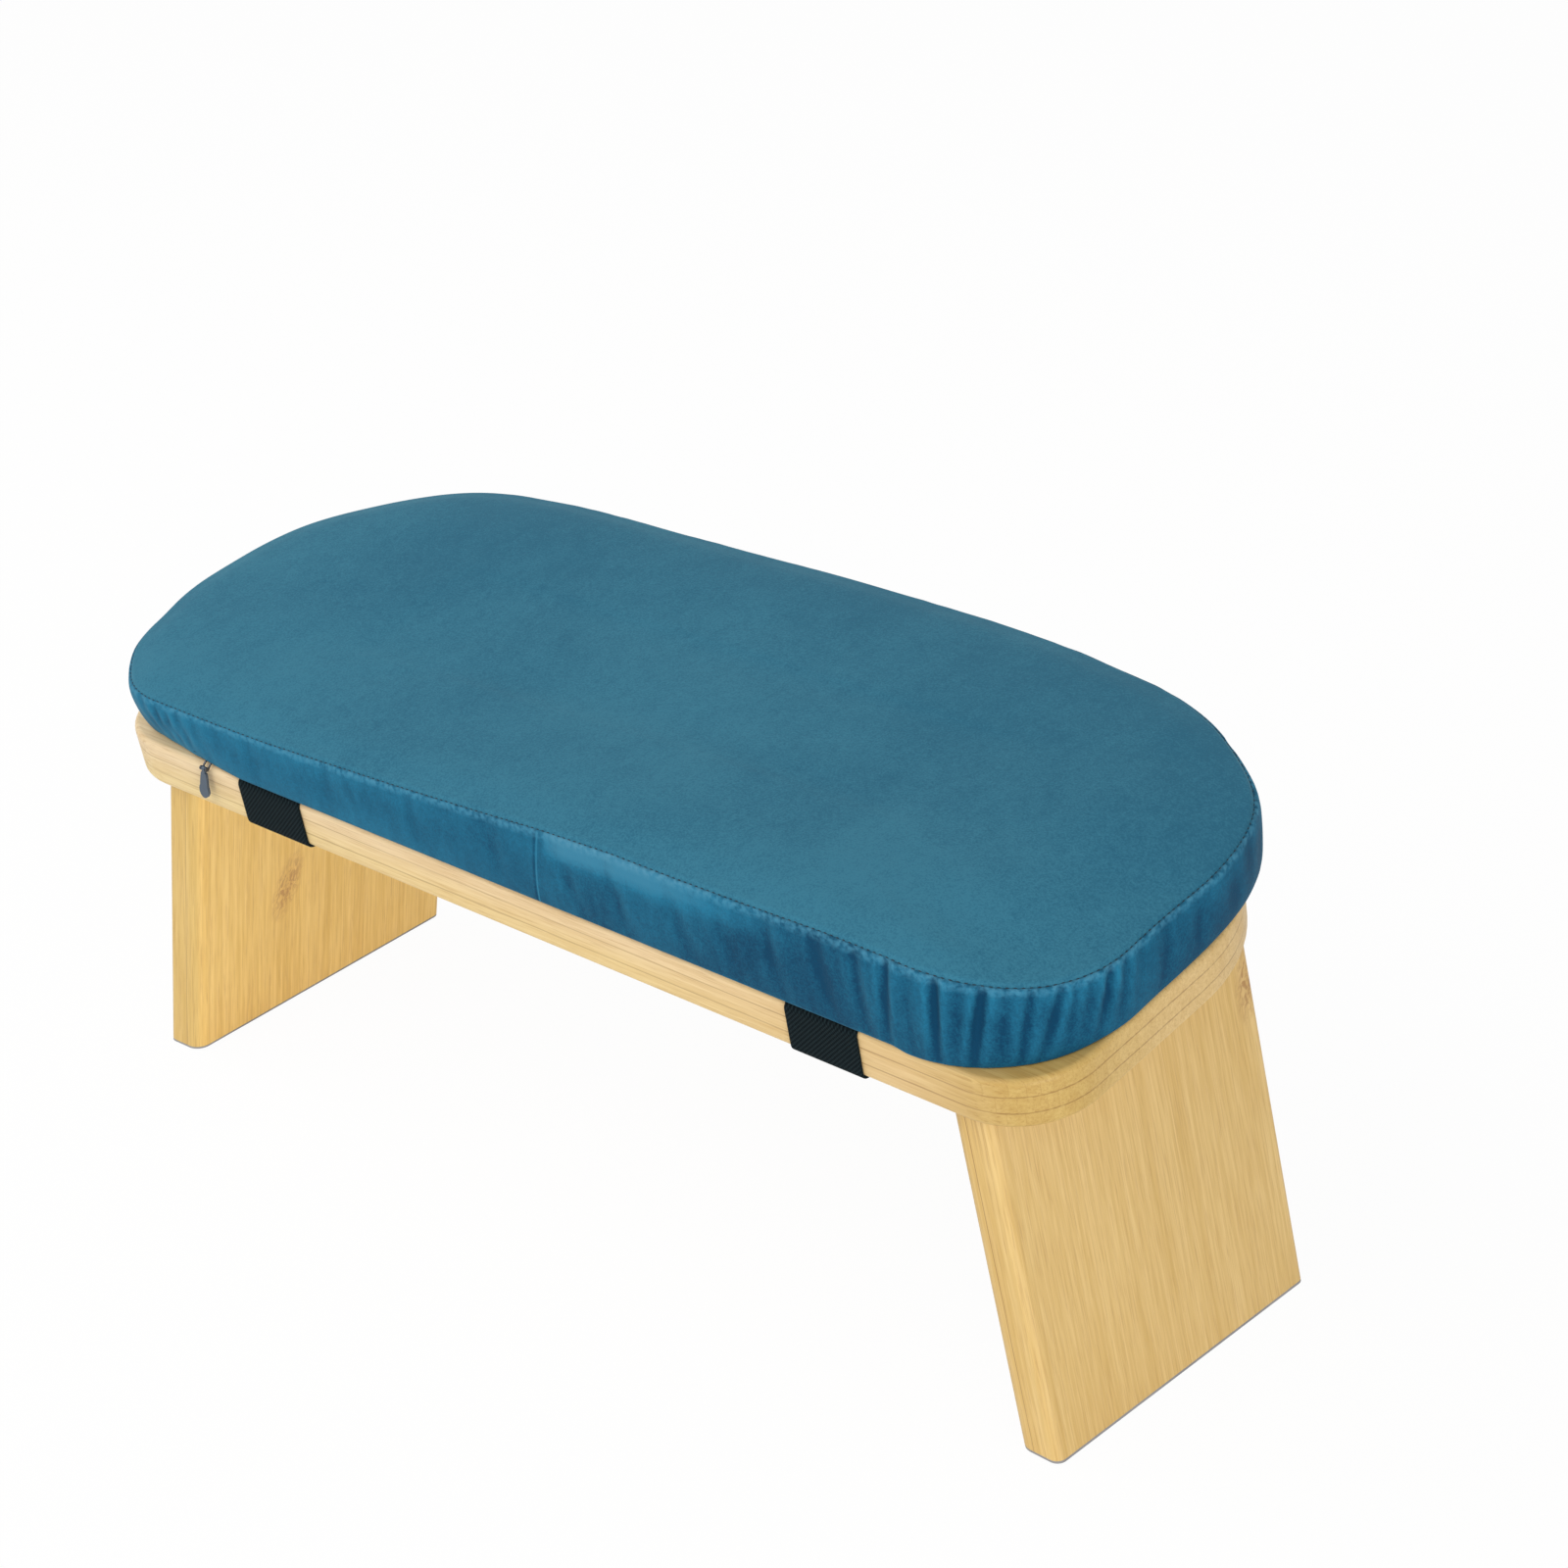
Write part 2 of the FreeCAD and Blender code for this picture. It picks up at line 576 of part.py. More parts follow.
def zip_slider():
    """Slider that straddles the coil, with the bail that carries the pull."""
    half = SLIDER_LENGTH / 2
    front = ZIP_COIL_Y - SLIDER_WIDTH / 2
    bottom = above_board(SLIDER_LEVEL)
    top = above_board(ZIP_TAPE_LEVEL) - SLIDER_GAP
    body = box(SLIDER_PARK_X - half, SLIDER_PARK_X + half, front, front + SLIDER_WIDTH, bottom, top)
    uprights = [edge for edge in body.Edges if edge.BoundBox.ZLength > (top - bottom) / 2]
    body = body.makeFillet(SLIDER_CORNER, uprights)
    groove = half_round(SLIDER_PARK_X - SLIDER_LENGTH, SLIDER_PARK_X + SLIDER_LENGTH,
                        ZIP_COIL_WIDTH + 2 * SLIDER_GAP, ZIP_COIL_THICKNESS + SLIDER_GAP, top)
    body = body.cut(groove)
    pivot_z = above_board(PULL_PIVOT_LEVEL)
    inner = PULL_EYE_LENGTH / 2 + SLIDER_GAP
    outer = inner + BAIL_ARM_WIDTH
    for x0, x1 in ((-outer, -inner), (inner, outer)):
        eye = Part.makeCylinder(BAIL_EYE_RADIUS, BAIL_ARM_WIDTH,
                                Vector(SLIDER_PARK_X + x0, PULL_PIVOT_Y, pivot_z), X_AXIS)
        body = body.fuse([bail_arm(SLIDER_PARK_X + x0, SLIDER_PARK_X + x1), eye])
    bar = Part.makeCylinder(BAIL_BAR_RADIUS, 2 * outer,
                            Vector(SLIDER_PARK_X - outer, PULL_PIVOT_Y, pivot_z), X_AXIS)
    return body.fuse(bar).removeSplitter()


def bail_arm(x0, x1):
    """Arm that follows the board's rounded front arris from the slider down to the pull's eye."""
    inner = BOARD_ARRIS + STRAP_TOP + SLIDER_STRAP_GAP
    outer = inner + BAIL_THICKNESS

    def at(radius, angle_deg):
        angle = math.radians(angle_deg)
        return Vector(x0, BOARD_ARRIS - radius * math.sin(angle),
                      BOARD_THICKNESS - BOARD_ARRIS + radius * math.cos(angle))

    edges = [
        Part.Arc(at(outer, 0), at(outer, BAIL_TURN_DEG / 2), at(outer, BAIL_TURN_DEG)).toShape(),
        Part.LineSegment(at(outer, BAIL_TURN_DEG), at(inner, BAIL_TURN_DEG)).toShape(),
        Part.Arc(at(inner, BAIL_TURN_DEG), at(inner, BAIL_TURN_DEG / 2), at(inner, 0)).toShape(),
        Part.LineSegment(at(inner, 0), at(outer, 0)).toShape(),
    ]
    return Part.Face(Part.Wire(edges)).extrude(Vector(x1 - x0, 0, 0))


def zip_pull():
    """Teardrop pull that hangs plumb from its eye on the bail, as built in the seat frame."""
    wide = PULL_WIDTH / 2
    neck = PULL_NECK_WIDTH / 2
    widest = -PULL_LENGTH * PULL_WIDEST_SHARE
    left_neck = Vector(-neck, 0, 0)
    right_neck = Vector(neck, 0, 0)
    left_wide = Vector(-wide, 0, widest)
    right_wide = Vector(wide, 0, widest)
    tip = Vector(0, 0, -PULL_LENGTH)
    bulge = (neck + wide) / 2 + PULL_THICKNESS / 4
    edges = [
        Part.LineSegment(left_neck, right_neck).toShape(),
        Part.Arc(right_neck, Vector(bulge, 0, widest / 2), right_wide).toShape(),
        Part.Arc(right_wide, tip, left_wide).toShape(),
        Part.Arc(left_wide, Vector(-bulge, 0, widest / 2), left_neck).toShape(),
    ]
    plate = Part.Face(Part.Wire(edges)).extrude(Vector(0, PULL_THICKNESS, 0))
    plate.translate(Vector(0, -PULL_THICKNESS / 2, 0))
    half = PULL_EYE_LENGTH / 2
    clear = box(-PULL_WIDTH, -half, -PULL_WIDTH, PULL_WIDTH, -2 * PULL_EYE_RADIUS, PULL_EYE_RADIUS)
    eye = Part.makeCylinder(PULL_EYE_RADIUS, PULL_EYE_LENGTH, Vector(-half, 0, 0), X_AXIS)
    bore = Part.makeCylinder(BAIL_BAR_RADIUS + PIN_CLEARANCE, 2 * PULL_WIDTH,
                             Vector(-PULL_WIDTH, 0, 0), X_AXIS)
    pull = plate.cut([clear, clear.mirror(ORIGIN, X_AXIS)]).fuse(eye).cut(bore)
    pivot = Vector(SLIDER_PARK_X, PULL_PIVOT_Y, above_board(PULL_PIVOT_LEVEL))
    return placed(pull, Placement(pivot, Rotation(X_AXIS, -SEAT_TILT_DEG)))


def all_parts():
    """Every node of the bench, standing on the floor with its front edge at y = 0."""
    nodes = {}
    seat_frame = {"seat_board": seat_board()}
    seat_frame.update(cushion_parts())
    seat_frame["left_strap"] = strap(LEFT_STRAP_X)
    seat_frame["right_strap"] = strap(RIGHT_STRAP_X)
    seat_frame.update(zip_parts())
    seat_frame["zip_slider"] = zip_slider()
    seat_frame["zip_pull"] = zip_pull()
    hinge_parts, board_screws = seat_hinge_parts()
    seat_frame["seat_leaf_screws"] = board_screws
    for name, shape in seat_frame.items():
        nodes[name] = placed(shape, SEAT_PLACE)
    right = {name: placed(shape, SEAT_PLACE) for name, shape in hinge_parts.items()}
    right.update(right_leg_parts())
    for name, shape in right.items():
        nodes["right_" + name] = shape
        nodes["left_" + name] = mirrored(shape)
    return nodes


def middle_of(nodes):
    """Middle of the standing bench, on the floor."""
    bounds = Part.makeCompound(list(nodes.values())).optimalBoundingBox(False)
    return Vector(bounds.Center.x, bounds.Center.y, 0)


def main():
    """Build every node and write one file for each."""
    os.makedirs("parts", exist_ok=True)
    nodes = all_parts()
    middle = middle_of(nodes)
    shift = Placement(middle * -1, Rotation())
    for name, shape in sorted(nodes.items()):
        placed(shape, shift).exportStep("parts/" + name + ".step")
    pivot = (shift * SEAT_PLACE).multVec(Vector(PIN_X, 0, -PIN_OFFSET))
    pull_pivot = (shift * SEAT_PLACE).multVec(
        Vector(SLIDER_PARK_X, PULL_PIVOT_Y, above_board(PULL_PIVOT_LEVEL)))
    print("nodes", len(nodes), "middle", middle)
    print("right fold axis through", pivot, "along", SEAT_PLACE.Rotation.multVec(Y_AXIS), "to", FOLD_DEG)
    print("pull axis through", pull_pivot)


main()
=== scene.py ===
"""Dresses the folding meditation bench: bamboo board and legs, velvet box cushion, twill
straps, zip, hinges and screws, with the studio and the camera.

Metres. The seat frame has its origin at the middle of the front edge of the board's
underside: X along the bench, Y over the board's depth, Z off the board.
"""
import math
from contextlib import contextmanager
from functools import partialmethod

import bpy
import numpy as np
from bpy.props import FloatProperty, FloatVectorProperty, PointerProperty
from mathutils import Matrix, Vector, noise


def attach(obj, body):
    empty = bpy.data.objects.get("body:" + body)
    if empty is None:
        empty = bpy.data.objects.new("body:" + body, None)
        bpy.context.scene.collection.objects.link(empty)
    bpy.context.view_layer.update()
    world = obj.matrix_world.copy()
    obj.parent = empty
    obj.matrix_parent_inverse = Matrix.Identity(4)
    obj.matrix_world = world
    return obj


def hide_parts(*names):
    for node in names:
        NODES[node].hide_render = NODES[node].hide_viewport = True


bl_info = {
    "name": "Meditation bench",
    "version": (1, 0, 0),
    "blender": (4, 5, 0),
    "location": "View3D > Sidebar > Bench",
    "description": "Dresses a folding meditation bench with its cushion, straps and zip",
    "category": "Object",
}

MM = 0.001
FAR = 9.0  # out of every piece's reach
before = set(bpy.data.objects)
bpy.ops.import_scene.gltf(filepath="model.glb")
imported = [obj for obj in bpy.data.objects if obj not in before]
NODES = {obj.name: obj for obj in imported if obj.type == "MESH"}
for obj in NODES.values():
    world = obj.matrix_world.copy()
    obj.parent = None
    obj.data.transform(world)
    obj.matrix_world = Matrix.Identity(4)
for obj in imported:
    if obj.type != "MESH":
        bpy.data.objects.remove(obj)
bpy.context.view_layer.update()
SIDES = (("left", -1), ("right", 1))

# The board and the legs as the frame has them
BOARD_LENGTH = 500 * MM
BOARD_DEPTH = 194 * MM
BOARD_THICKNESS = 21 * MM
BOARD_REAR_BOW = 900 * MM
BOARD_ARRIS = 2.5 * MM
SEAT_TILT = math.radians(8)
SEAT = (Matrix.Translation(Vector((0, -94.2314, 138.3)) * MM)
        @ Matrix.Rotation(SEAT_TILT, 4, "X"))
LEG_THICKNESS = 19 * MM
LEG_SPLAY = math.radians(11.7)
LEG_TOP_X = BOARD_LENGTH / 2 - 28.4 * MM
LEG_START, LEG_DEPTH = 5 * MM, 150 * MM
ZIP_HALF_LENGTH = 190 * MM
HINGE_LENGTH, HINGE_MARGIN = 40 * MM, 15 * MM
HINGE_STARTS = (LEG_START + HINGE_MARGIN,
                LEG_START + LEG_DEPTH / math.cos(SEAT_TILT) - HINGE_MARGIN - HINGE_LENGTH)
LEAF_THICKNESS = 1.5 * MM
PIN_OFFSET = 3.3 * MM
PIN_X = (LEG_TOP_X - LEG_THICKNESS / math.cos(LEG_SPLAY)
         + PIN_OFFSET * (math.tan(LEG_SPLAY) - 1 / math.cos(LEG_SPLAY)))


def colour_prop(name, description, default):
    """A colour that the user can change."""
    return FloatVectorProperty(name=name, description=description, default=default,
                               subtype="COLOR", size=3, min=0.0, max=1.0)


def length_prop(name, description, default):
    """A length in metres."""
    return FloatProperty(name=name, description=description, default=default,
                         unit="LENGTH", min=0.0)


def number_prop(name, description, default):
    """A plain number."""
    return FloatProperty(name=name, description=description, default=default)


class BenchCushion(bpy.types.PropertyGroup):
    """Shape and finish of the cushion."""

    crown: length_prop("Crown", "Rise of the top panel above its seam", 4.4 * MM)
    bulge: length_prop("Bulge", "How far the side band stands out at its middle", 1.1 * MM)
    pucker: length_prop("Pucker", "Depth of the band's gathers", 1.6 * MM)
    seam_groove: length_prop("Seam groove", "Depth of the stitched seam", 1.1 * MM)
    pressure: number_prop("Pressure", "Pressure of the cloth simulation", 4.0)
    settle: length_prop("Settling", "Most that the simulation may move a point", 2.2 * MM)
    velvet: colour_prop("Top velvet", "Colour of the top panel's pile", (0.038, 0.184, 0.278))
    velvet_dark: colour_prop("Top velvet shade", "Colour where the pile lies away",
                             (0.018, 0.119, 0.203))
    # The band's velvet is the top's made darker and bluer: painted shade on the upright band.
    band_light: colour_prop("Band velvet", "Colour of the band's pile brushed up",
                            (0.016, 0.170, 0.298))
    band_dark: colour_prop("Band velvet shade", "Colour of the band's pile brushed down",
                           (0.002, 0.046, 0.106))
    # Paler colour of the band's painted highlight under its seam
    highlighted: colour_prop("Highlighted velvet", "Colour of the pile crushed along the seam",
                         (0.095, 0.29, 0.42))
    velvet_sheen: colour_prop("Velvet sheen", "Tint of the pile's sheen", (0.32, 0.62, 0.72))
    stitch: length_prop("Stitch", "Distance between two stitches", 2.8 * MM)
    thread: colour_prop("Thread", "Colour of the sewing thread", (0.002, 0.016, 0.032))
    lining: colour_prop("Lining", "Colour of the plain underside", (0.02, 0.06, 0.09))


class BenchWood(bpy.types.PropertyGroup):
    """Finish of the bamboo."""

    strip: length_prop("Strip", "Width of one bamboo strip", 3.6 * MM)
    pale: colour_prop("Pale strips", "Colour of the palest strips", (0.78, 0.57, 0.25))
    deep: colour_prop("Deep strips", "Colour of the deepest strips", (0.60, 0.39, 0.12))
    board_pale: colour_prop("Pale board", "Colour of the board's palest strips",
                            (0.79, 0.595, 0.31))
    board_deep: colour_prop("Deep board", "Colour of the board's deepest strips",
                            (0.63, 0.425, 0.18))
    fibre: colour_prop("Fibres", "Colour of the dark fibres", (0.42, 0.23, 0.08))
    glue: colour_prop("Glue lines", "Colour between the plies", (0.30, 0.15, 0.05))


class BenchTrim(bpy.types.PropertyGroup):
    """Straps, zip and metal parts."""

    strap_width: length_prop("Strap width", "Width of the elastic", 35 * MM)
    strap_thickness: length_prop("Strap thickness", "Thickness of the elastic", 1.15 * MM)
    rib_pitch: length_prop("Rib pitch", "Distance between the elastic's ribs", 1.4 * MM)
    elastic: colour_prop("Elastic", "Colour of the straps", (0.002, 0.005, 0.007))
    elastic_rib: colour_prop("Elastic ribs", "Colour of the ribs' backs", (0.011, 0.022, 0.026))
    coil_pitch: length_prop("Coil pitch", "Distance between the zip's turns", 1.3 * MM)
    tape: colour_prop("Zip tape", "Colour of the zip's tape", (0.012, 0.03, 0.045))
    pull: colour_prop("Zip pull", "Colour of the moulded pull", (0.055, 0.085, 0.125))
    steel: colour_prop("Steel", "Colour of the plated hinges", (0.44, 0.44, 0.43))
    pad: colour_prop("Foot pads", "Colour of the foot pads", (0.30, 0.30, 0.31))


class BenchStage(bpy.types.PropertyGroup):
    """Light and camera."""

    sky: number_prop("Sky", "Strength of the even light", 0.50)
    key: number_prop("Key", "Power of the large lamp in watts", 19.0)
    fill: number_prop("Fill", "Power of the low lamp at the right in watts", 27.0)
    rim: number_prop("Left lamp", "Power of the lamp high at the left in watts", 10.0)
    lens: number_prop("Lens", "Focal length in millimetres", 81.296)


# ---------------------------------------------------------------- nodes
class Wire:
    """A shader node's output, with which sums are written as with numbers."""

    def __init__(self, socket):
        self.socket = socket

    def into(self, kind, settings, inputs, output=0):
        """Output of a further node in the same tree."""
        return Wire(node(self.socket.id_data, kind, settings, inputs).outputs[output])

    def maths(self, operation, *others):
        """Output of a math node."""
        return self.into("ShaderNodeMath", {"operation": operation},
                         dict(enumerate((self, *others))))

    __add__ = __radd__ = partialmethod(maths, "ADD")
    __mul__ = __rmul__ = partialmethod(maths, "MULTIPLY")
    __sub__ = partialmethod(maths, "SUBTRACT")
    __truediv__ = partialmethod(maths, "DIVIDE")
    __pow__ = partialmethod(maths, "POWER")
    __gt__ = partialmethod(maths, "GREATER_THAN")
    __abs__ = partialmethod(maths, "ABSOLUTE")

    def ramp(self, low, high, to_low=0.0, to_high=1.0):
        """Clamped map from one range to another."""
        return self.into("ShaderNodeMapRange", {"clamp": True}, {
            "Value": self, "From Min": low, "From Max": high, "To Min": to_low, "To Max": to_high})

    def stripe(self, middle, inner, outer, height=1.0):
        """A height up to an inner distance from the middle, and none past the outer distance."""
        return abs(self - middle).ramp(inner, outer, height, 0.0)

    def mix(self, first, second, blend="MIX"):
        """Colour that goes from the first to the second as this value goes from 0 to 1."""
        return self.into("ShaderNodeMix", {"data_type": "RGBA", "blend_type": blend},
                         {0: self, 6: first, 7: second}, 2)

    def noise(self, scale, detail=2.0, rough=0.5, distortion=0.0):
        """Noise at this place, between about 0.3 and 0.7."""
        return self.into("ShaderNodeTexNoise", {"noise_dimensions": "3D"}, {
            "Vector": self, "Scale": scale, "Detail": detail, "Roughness": rough,
            "Distortion": distortion})

    def chance(self):
        """Random value that belongs to this number."""
        return self.into("ShaderNodeTexWhiteNoise", {"noise_dimensions": "1D"}, {"W": self},
                         "Value")

    def split(self):
        """X, Y and Z of this vector."""
        parts = node(self.socket.id_data, "ShaderNodeSeparateXYZ", None, {0: self})
        return [Wire(output) for output in parts.outputs]


def plug(made, inputs):
    """Give a node's inputs their values and colours, or the wires that drive them."""
    for key, value in inputs.items():
        socket = made.inputs[key]
        if isinstance(value, Wire):
            made.id_data.links.new(value.socket, socket)
        else:
            socket.default_value = (*value[:3], 1.0) if socket.type == "RGBA" else value


def node(tree, kind, settings=None, inputs=None):
    """Node with its settings and its inputs."""
    made = tree.nodes.new(kind)
    for key, value in (settings or {}).items():
        setattr(made, key, value)
    plug(made, inputs or {})
    return made


def combined(x, y, z):
    """Vector put together from a wire and two more values."""
    return x.into("ShaderNodeCombineXYZ", None, {0: x, 1: y, 2: z})


def times(colour, factor):
    """A colour made darker or lighter."""
    return tuple(factor * channel for channel in colour)


def cleared_tree(owner):
    """The empty node tree of a material or a world."""
    owner.use_nodes = True
    owner.node_tree.nodes.clear()
    return owner.node_tree


def new_material(name, frame_matrix=SEAT):
    """Material, its shader, and the place in a frame as a vector and as X, Y and Z."""
    material = bpy.data.materials.new(name)
    tree = cleared_tree(material)
    shader = tree.nodes.new("ShaderNodeBsdfPrincipled")
    node(tree, "ShaderNodeOutputMaterial", None, {0: Wire(shader.outputs[0])})
    inverse = frame_matrix.inverted()
    vector = Wire(node(tree, "ShaderNodeTexCoord").outputs["Object"])
    vector = vector.into("ShaderNodeMapping", {"vector_type": "POINT"}, {
        "Vector": vector, "Location": inverse.to_translation(),
        "Rotation": inverse.to_euler("XYZ")})
    return material, shader, vector, vector.split()


def surface(shader, colour, rough, height, strength, distance, others=None):
    """Plug a shader's colour, its roughness, its relief and its other inputs."""
    bump = height.into("ShaderNodeBump", None, {
        "Strength": strength, "Distance": distance, "Height": height})
    plug(shader, {"Base Color": colour, "Roughness": rough, "Normal": bump, **(others or {})})


def group_tree(name, inputs, outputs):
    """Shader node group with named sockets, its inputs as wires, and its output node."""
    tree = bpy.data.node_groups.new(name, "ShaderNodeTree")
    for way, sockets in (("INPUT", inputs), ("OUTPUT", outputs)):
        for kind, names in sockets.items():
            for socket in names.split(", "):
                tree.interface.new_socket(socket, in_out=way, socket_type="NodeSocket" + kind)
    given = {socket.name: Wire(socket) for socket in node(tree, "NodeGroupInput").outputs}
    return tree, given, node(tree, "NodeGroupOutput")


def from_group(shader, group, inputs):
    """Outputs of a node group used in a shader's tree."""
    used = node(shader.id_data, "ShaderNodeGroup", {"node_tree": group}, inputs)
    return [Wire(output) for output in used.outputs]


# ---------------------------------------------------------------- materials
def bamboo_group():
    """Strips, fibres, knots and ply lines of laminated bamboo."""
    if "Bamboo" in bpy.data.node_groups:
        return bpy.data.node_groups["Bamboo"]
    tree, given, result = group_tree("Bamboo", {
        "Float": "Along, Across, Depth, Strip, Line A, Line B, Line Width, Knot Along, Knot Across",
        "Color": "Pale, Deep, Fibre, Glue"}, {"Color": "Color", "Float": "Height, Fibres"})
    along, across, depth, fibre = (given[key] for key in ("Along", "Across", "Depth", "Fibre"))
    # Each ply is shifted, so that its strips don't line up with its neighbour's.
    ply = (depth > given["Line A"]) + (depth > given["Line B"])
    place = ply * 7.37 + across / given["Strip"]
    index = place.maths("FLOOR")
    chance, other = index.chance(), (index + 41.3).chance()

    def grain(start, stretch, spread, *settings):
        """Noise that is longer along the grain than over it."""
        return combined(start * stretch, across * spread, depth * spread).noise(1.0, *settings)

    # Fibres run along the grain and differ from strip to strip.
    shifted = chance * 3.1 + along
    fibres = grain(shifted, 46.0, 1500.0, 3.0, 0.65, 0.25)
    fine = grain(shifted, 31.0, 720.0, 2.0, 0.6)
    wide = grain(shifted, 5.0, 330.0)
    cloud = grain(along, 6.0, 14.0)
    tone = (chance * 0.24 + cloud.ramp(0.3, 0.7) * 0.32 - 0.08
            + wide.ramp(0.35, 0.65) * 0.26 + fine.ramp(0.36, 0.64) * 0.38)
    colour = tone.mix(given["Pale"], given["Deep"])
    streaks = fibres.ramp(0.52, 0.70)
    colour = (streaks * 0.46).mix(colour, fibre)
    # A fine line stands between two strips.
    gap = abs(place.maths("FRACT") - 0.5).ramp(0.465, 0.495)
    colour = (gap * (other * 0.30 + 0.06)).mix(colour, fibre)
    # Each strip has a faint knuckle at its own place, and one patch of them shows clearly.
    knuckle = (other + along * 2.9).maths("FRACT").stripe(0.5, 0.003, 0.009)
    colour = (knuckle * chance.ramp(0.55, 1.0, 0.0, 0.05)).mix(colour, fibre)
    beside = across - given["Knot Across"]
    lean = beside * -0.9 + (along - given["Knot Along"])
    distance = (lean / 0.013) ** 2.0 + (beside / 0.0085) ** 2.0
    dashes = combined(lean * 300.0, beside * 520.0, 1.7).noise(1.0, 3.0, 0.6, 0.8)
    strength = (dashes.ramp(0.44, 0.60) * 0.95 + 0.21).maths("MINIMUM", 1.0)
    colour = (distance.ramp(0.1, 1.5, 1.0, 0.0) * strength).mix(colour, fibre)
    # Glue lines between the plies
    nearest = abs(depth - given["Line A"]).maths("MINIMUM", abs(depth - given["Line B"]))
    line = (nearest / given["Line Width"]).ramp(0.5, 1.2, 1.0, 0.0)
    colour = (line * wide.ramp(0.38, 0.56, 0.3, 0.65)).mix(colour, given["Glue"])
    height = (gap + streaks) * -0.35 - line * 0.5
    plug(result, {"Color": colour, "Height": height, "Fibres": streaks})
    return tree


def board_tints_and_shade(x, y, z):
    """Where the board's colour changes, and how: tints, and painted shade at its right front
    corner.
    """
    # Painted shade darkens the rounded right front corner under the cushion's overhang, most
    # at its front.
    yield (x.ramp(190 * MM, 235 * MM) * y.ramp(25 * MM, 80 * MM, 1.0, 0.4),
           (0.785, 0.745, 0.49))
    # Away from that corner the board is paler, its upper plies most, and its left end too.
    away = x.ramp(60 * MM, 185 * MM, 1.0, 0.0)
    yield away, (1.07, 1.11, 1.06)
    yield away * z.ramp(6 * MM, 17 * MM), (1.0, 1.0, 1.24)
    yield x.ramp(-200 * MM, -40 * MM, 1.0, 0.0), (1.01, 1.05, 1.12)


def left_leg_painted_light(x, y, z):
    """Painted light brightens the left leg's inner face, which the board shades."""
    yield x.ramp(0.86 * LEG_THICKNESS, 0.97 * LEG_THICKNESS), (1.26, 1.255, 1.27)


def no_tints(x, y, z):
    """One colour everywhere."""
    return ()


def bamboo_material(name, frame_matrix, axes, lines, tones, tints, knot=(FAR, FAR),
                    line_width=0.35 * MM):
    """Lacquered bamboo with its grain, strips and plies along the named axes of a frame."""
    wood = bpy.context.scene.bench_wood
    material, shader, vector, place = new_material(name, frame_matrix)
    along, across, depth = (place["XYZ".index(axis)] for axis in axes)
    colour, height, fibres = from_group(shader, bamboo_group(), {
        "Along": along, "Across": across, "Depth": depth, "Strip": wood.strip,
        "Pale": tones[0], "Deep": tones[1], "Fibre": wood.fibre, "Glue": wood.glue,
        "Line A": lines[0], "Line B": lines[1], "Line Width": line_width,
        "Knot Along": knot[0], "Knot Across": knot[1]})
    # The tints hold painted shade at the board's right front corner and painted light on the left
    # leg's inner face.
    for share, tint in tints(*place):
        colour = share.mix(colour, tint, "MULTIPLY")
    rough = fibres * 0.08 + vector.noise(60.0).ramp(0.3, 0.7, 0.42, 0.54)
    surface(shader, colour, rough, height, 0.35, 0.12 * MM, {"Specular IOR Level": 0.35})
    return material


def pile_group():
    """Short velvet pile: soft patches of nap, brush marks and the pile's own grain."""
    if "Pile" in bpy.data.node_groups:
        return bpy.data.node_groups["Pile"]
    tree, given, result = group_tree("Pile", {
        "Vector": "Vector", "Color": "Light, Dark", "Float": "Patches, Lift, Contrast, Grain",
    }, {"Color": "Color", "Float": "Rough, Height"})
    vector, contrast = given["Vector"], given["Contrast"]
    patches = vector.noise(given["Patches"], 3.0, 0.55, 0.5)
    x, y, z = vector.split()
    brushed = combined(x * 150.0, y * 90.0, z * 60.0).noise(1.0, 3.0, 0.6, 0.6)
    pile, tuft = vector.noise(1150.0, 2.0, 0.65), vector.noise(420.0)
    nap = (patches.ramp(0.34, 0.66, -0.5, 0.5) * contrast
           + brushed.ramp(0.3, 0.7, -0.5, 0.5) * (contrast * 0.7))
    grain = tuft.ramp(0.3, 0.7, -0.5, 0.5) * 0.3 + pile.ramp(0.35, 0.65, -0.5, 0.5) * 0.75
    # The lift from the material brings in its painted light and shade.
    nap = grain * given["Grain"] + nap + 0.5 + given["Lift"]
    plug(result, {"Color": nap.mix(given["Dark"], given["Light"]),
                  "Rough": pile.ramp(0.3, 0.7, 0.74, 0.94), "Height": tuft * 0.5 + pile})
    return tree


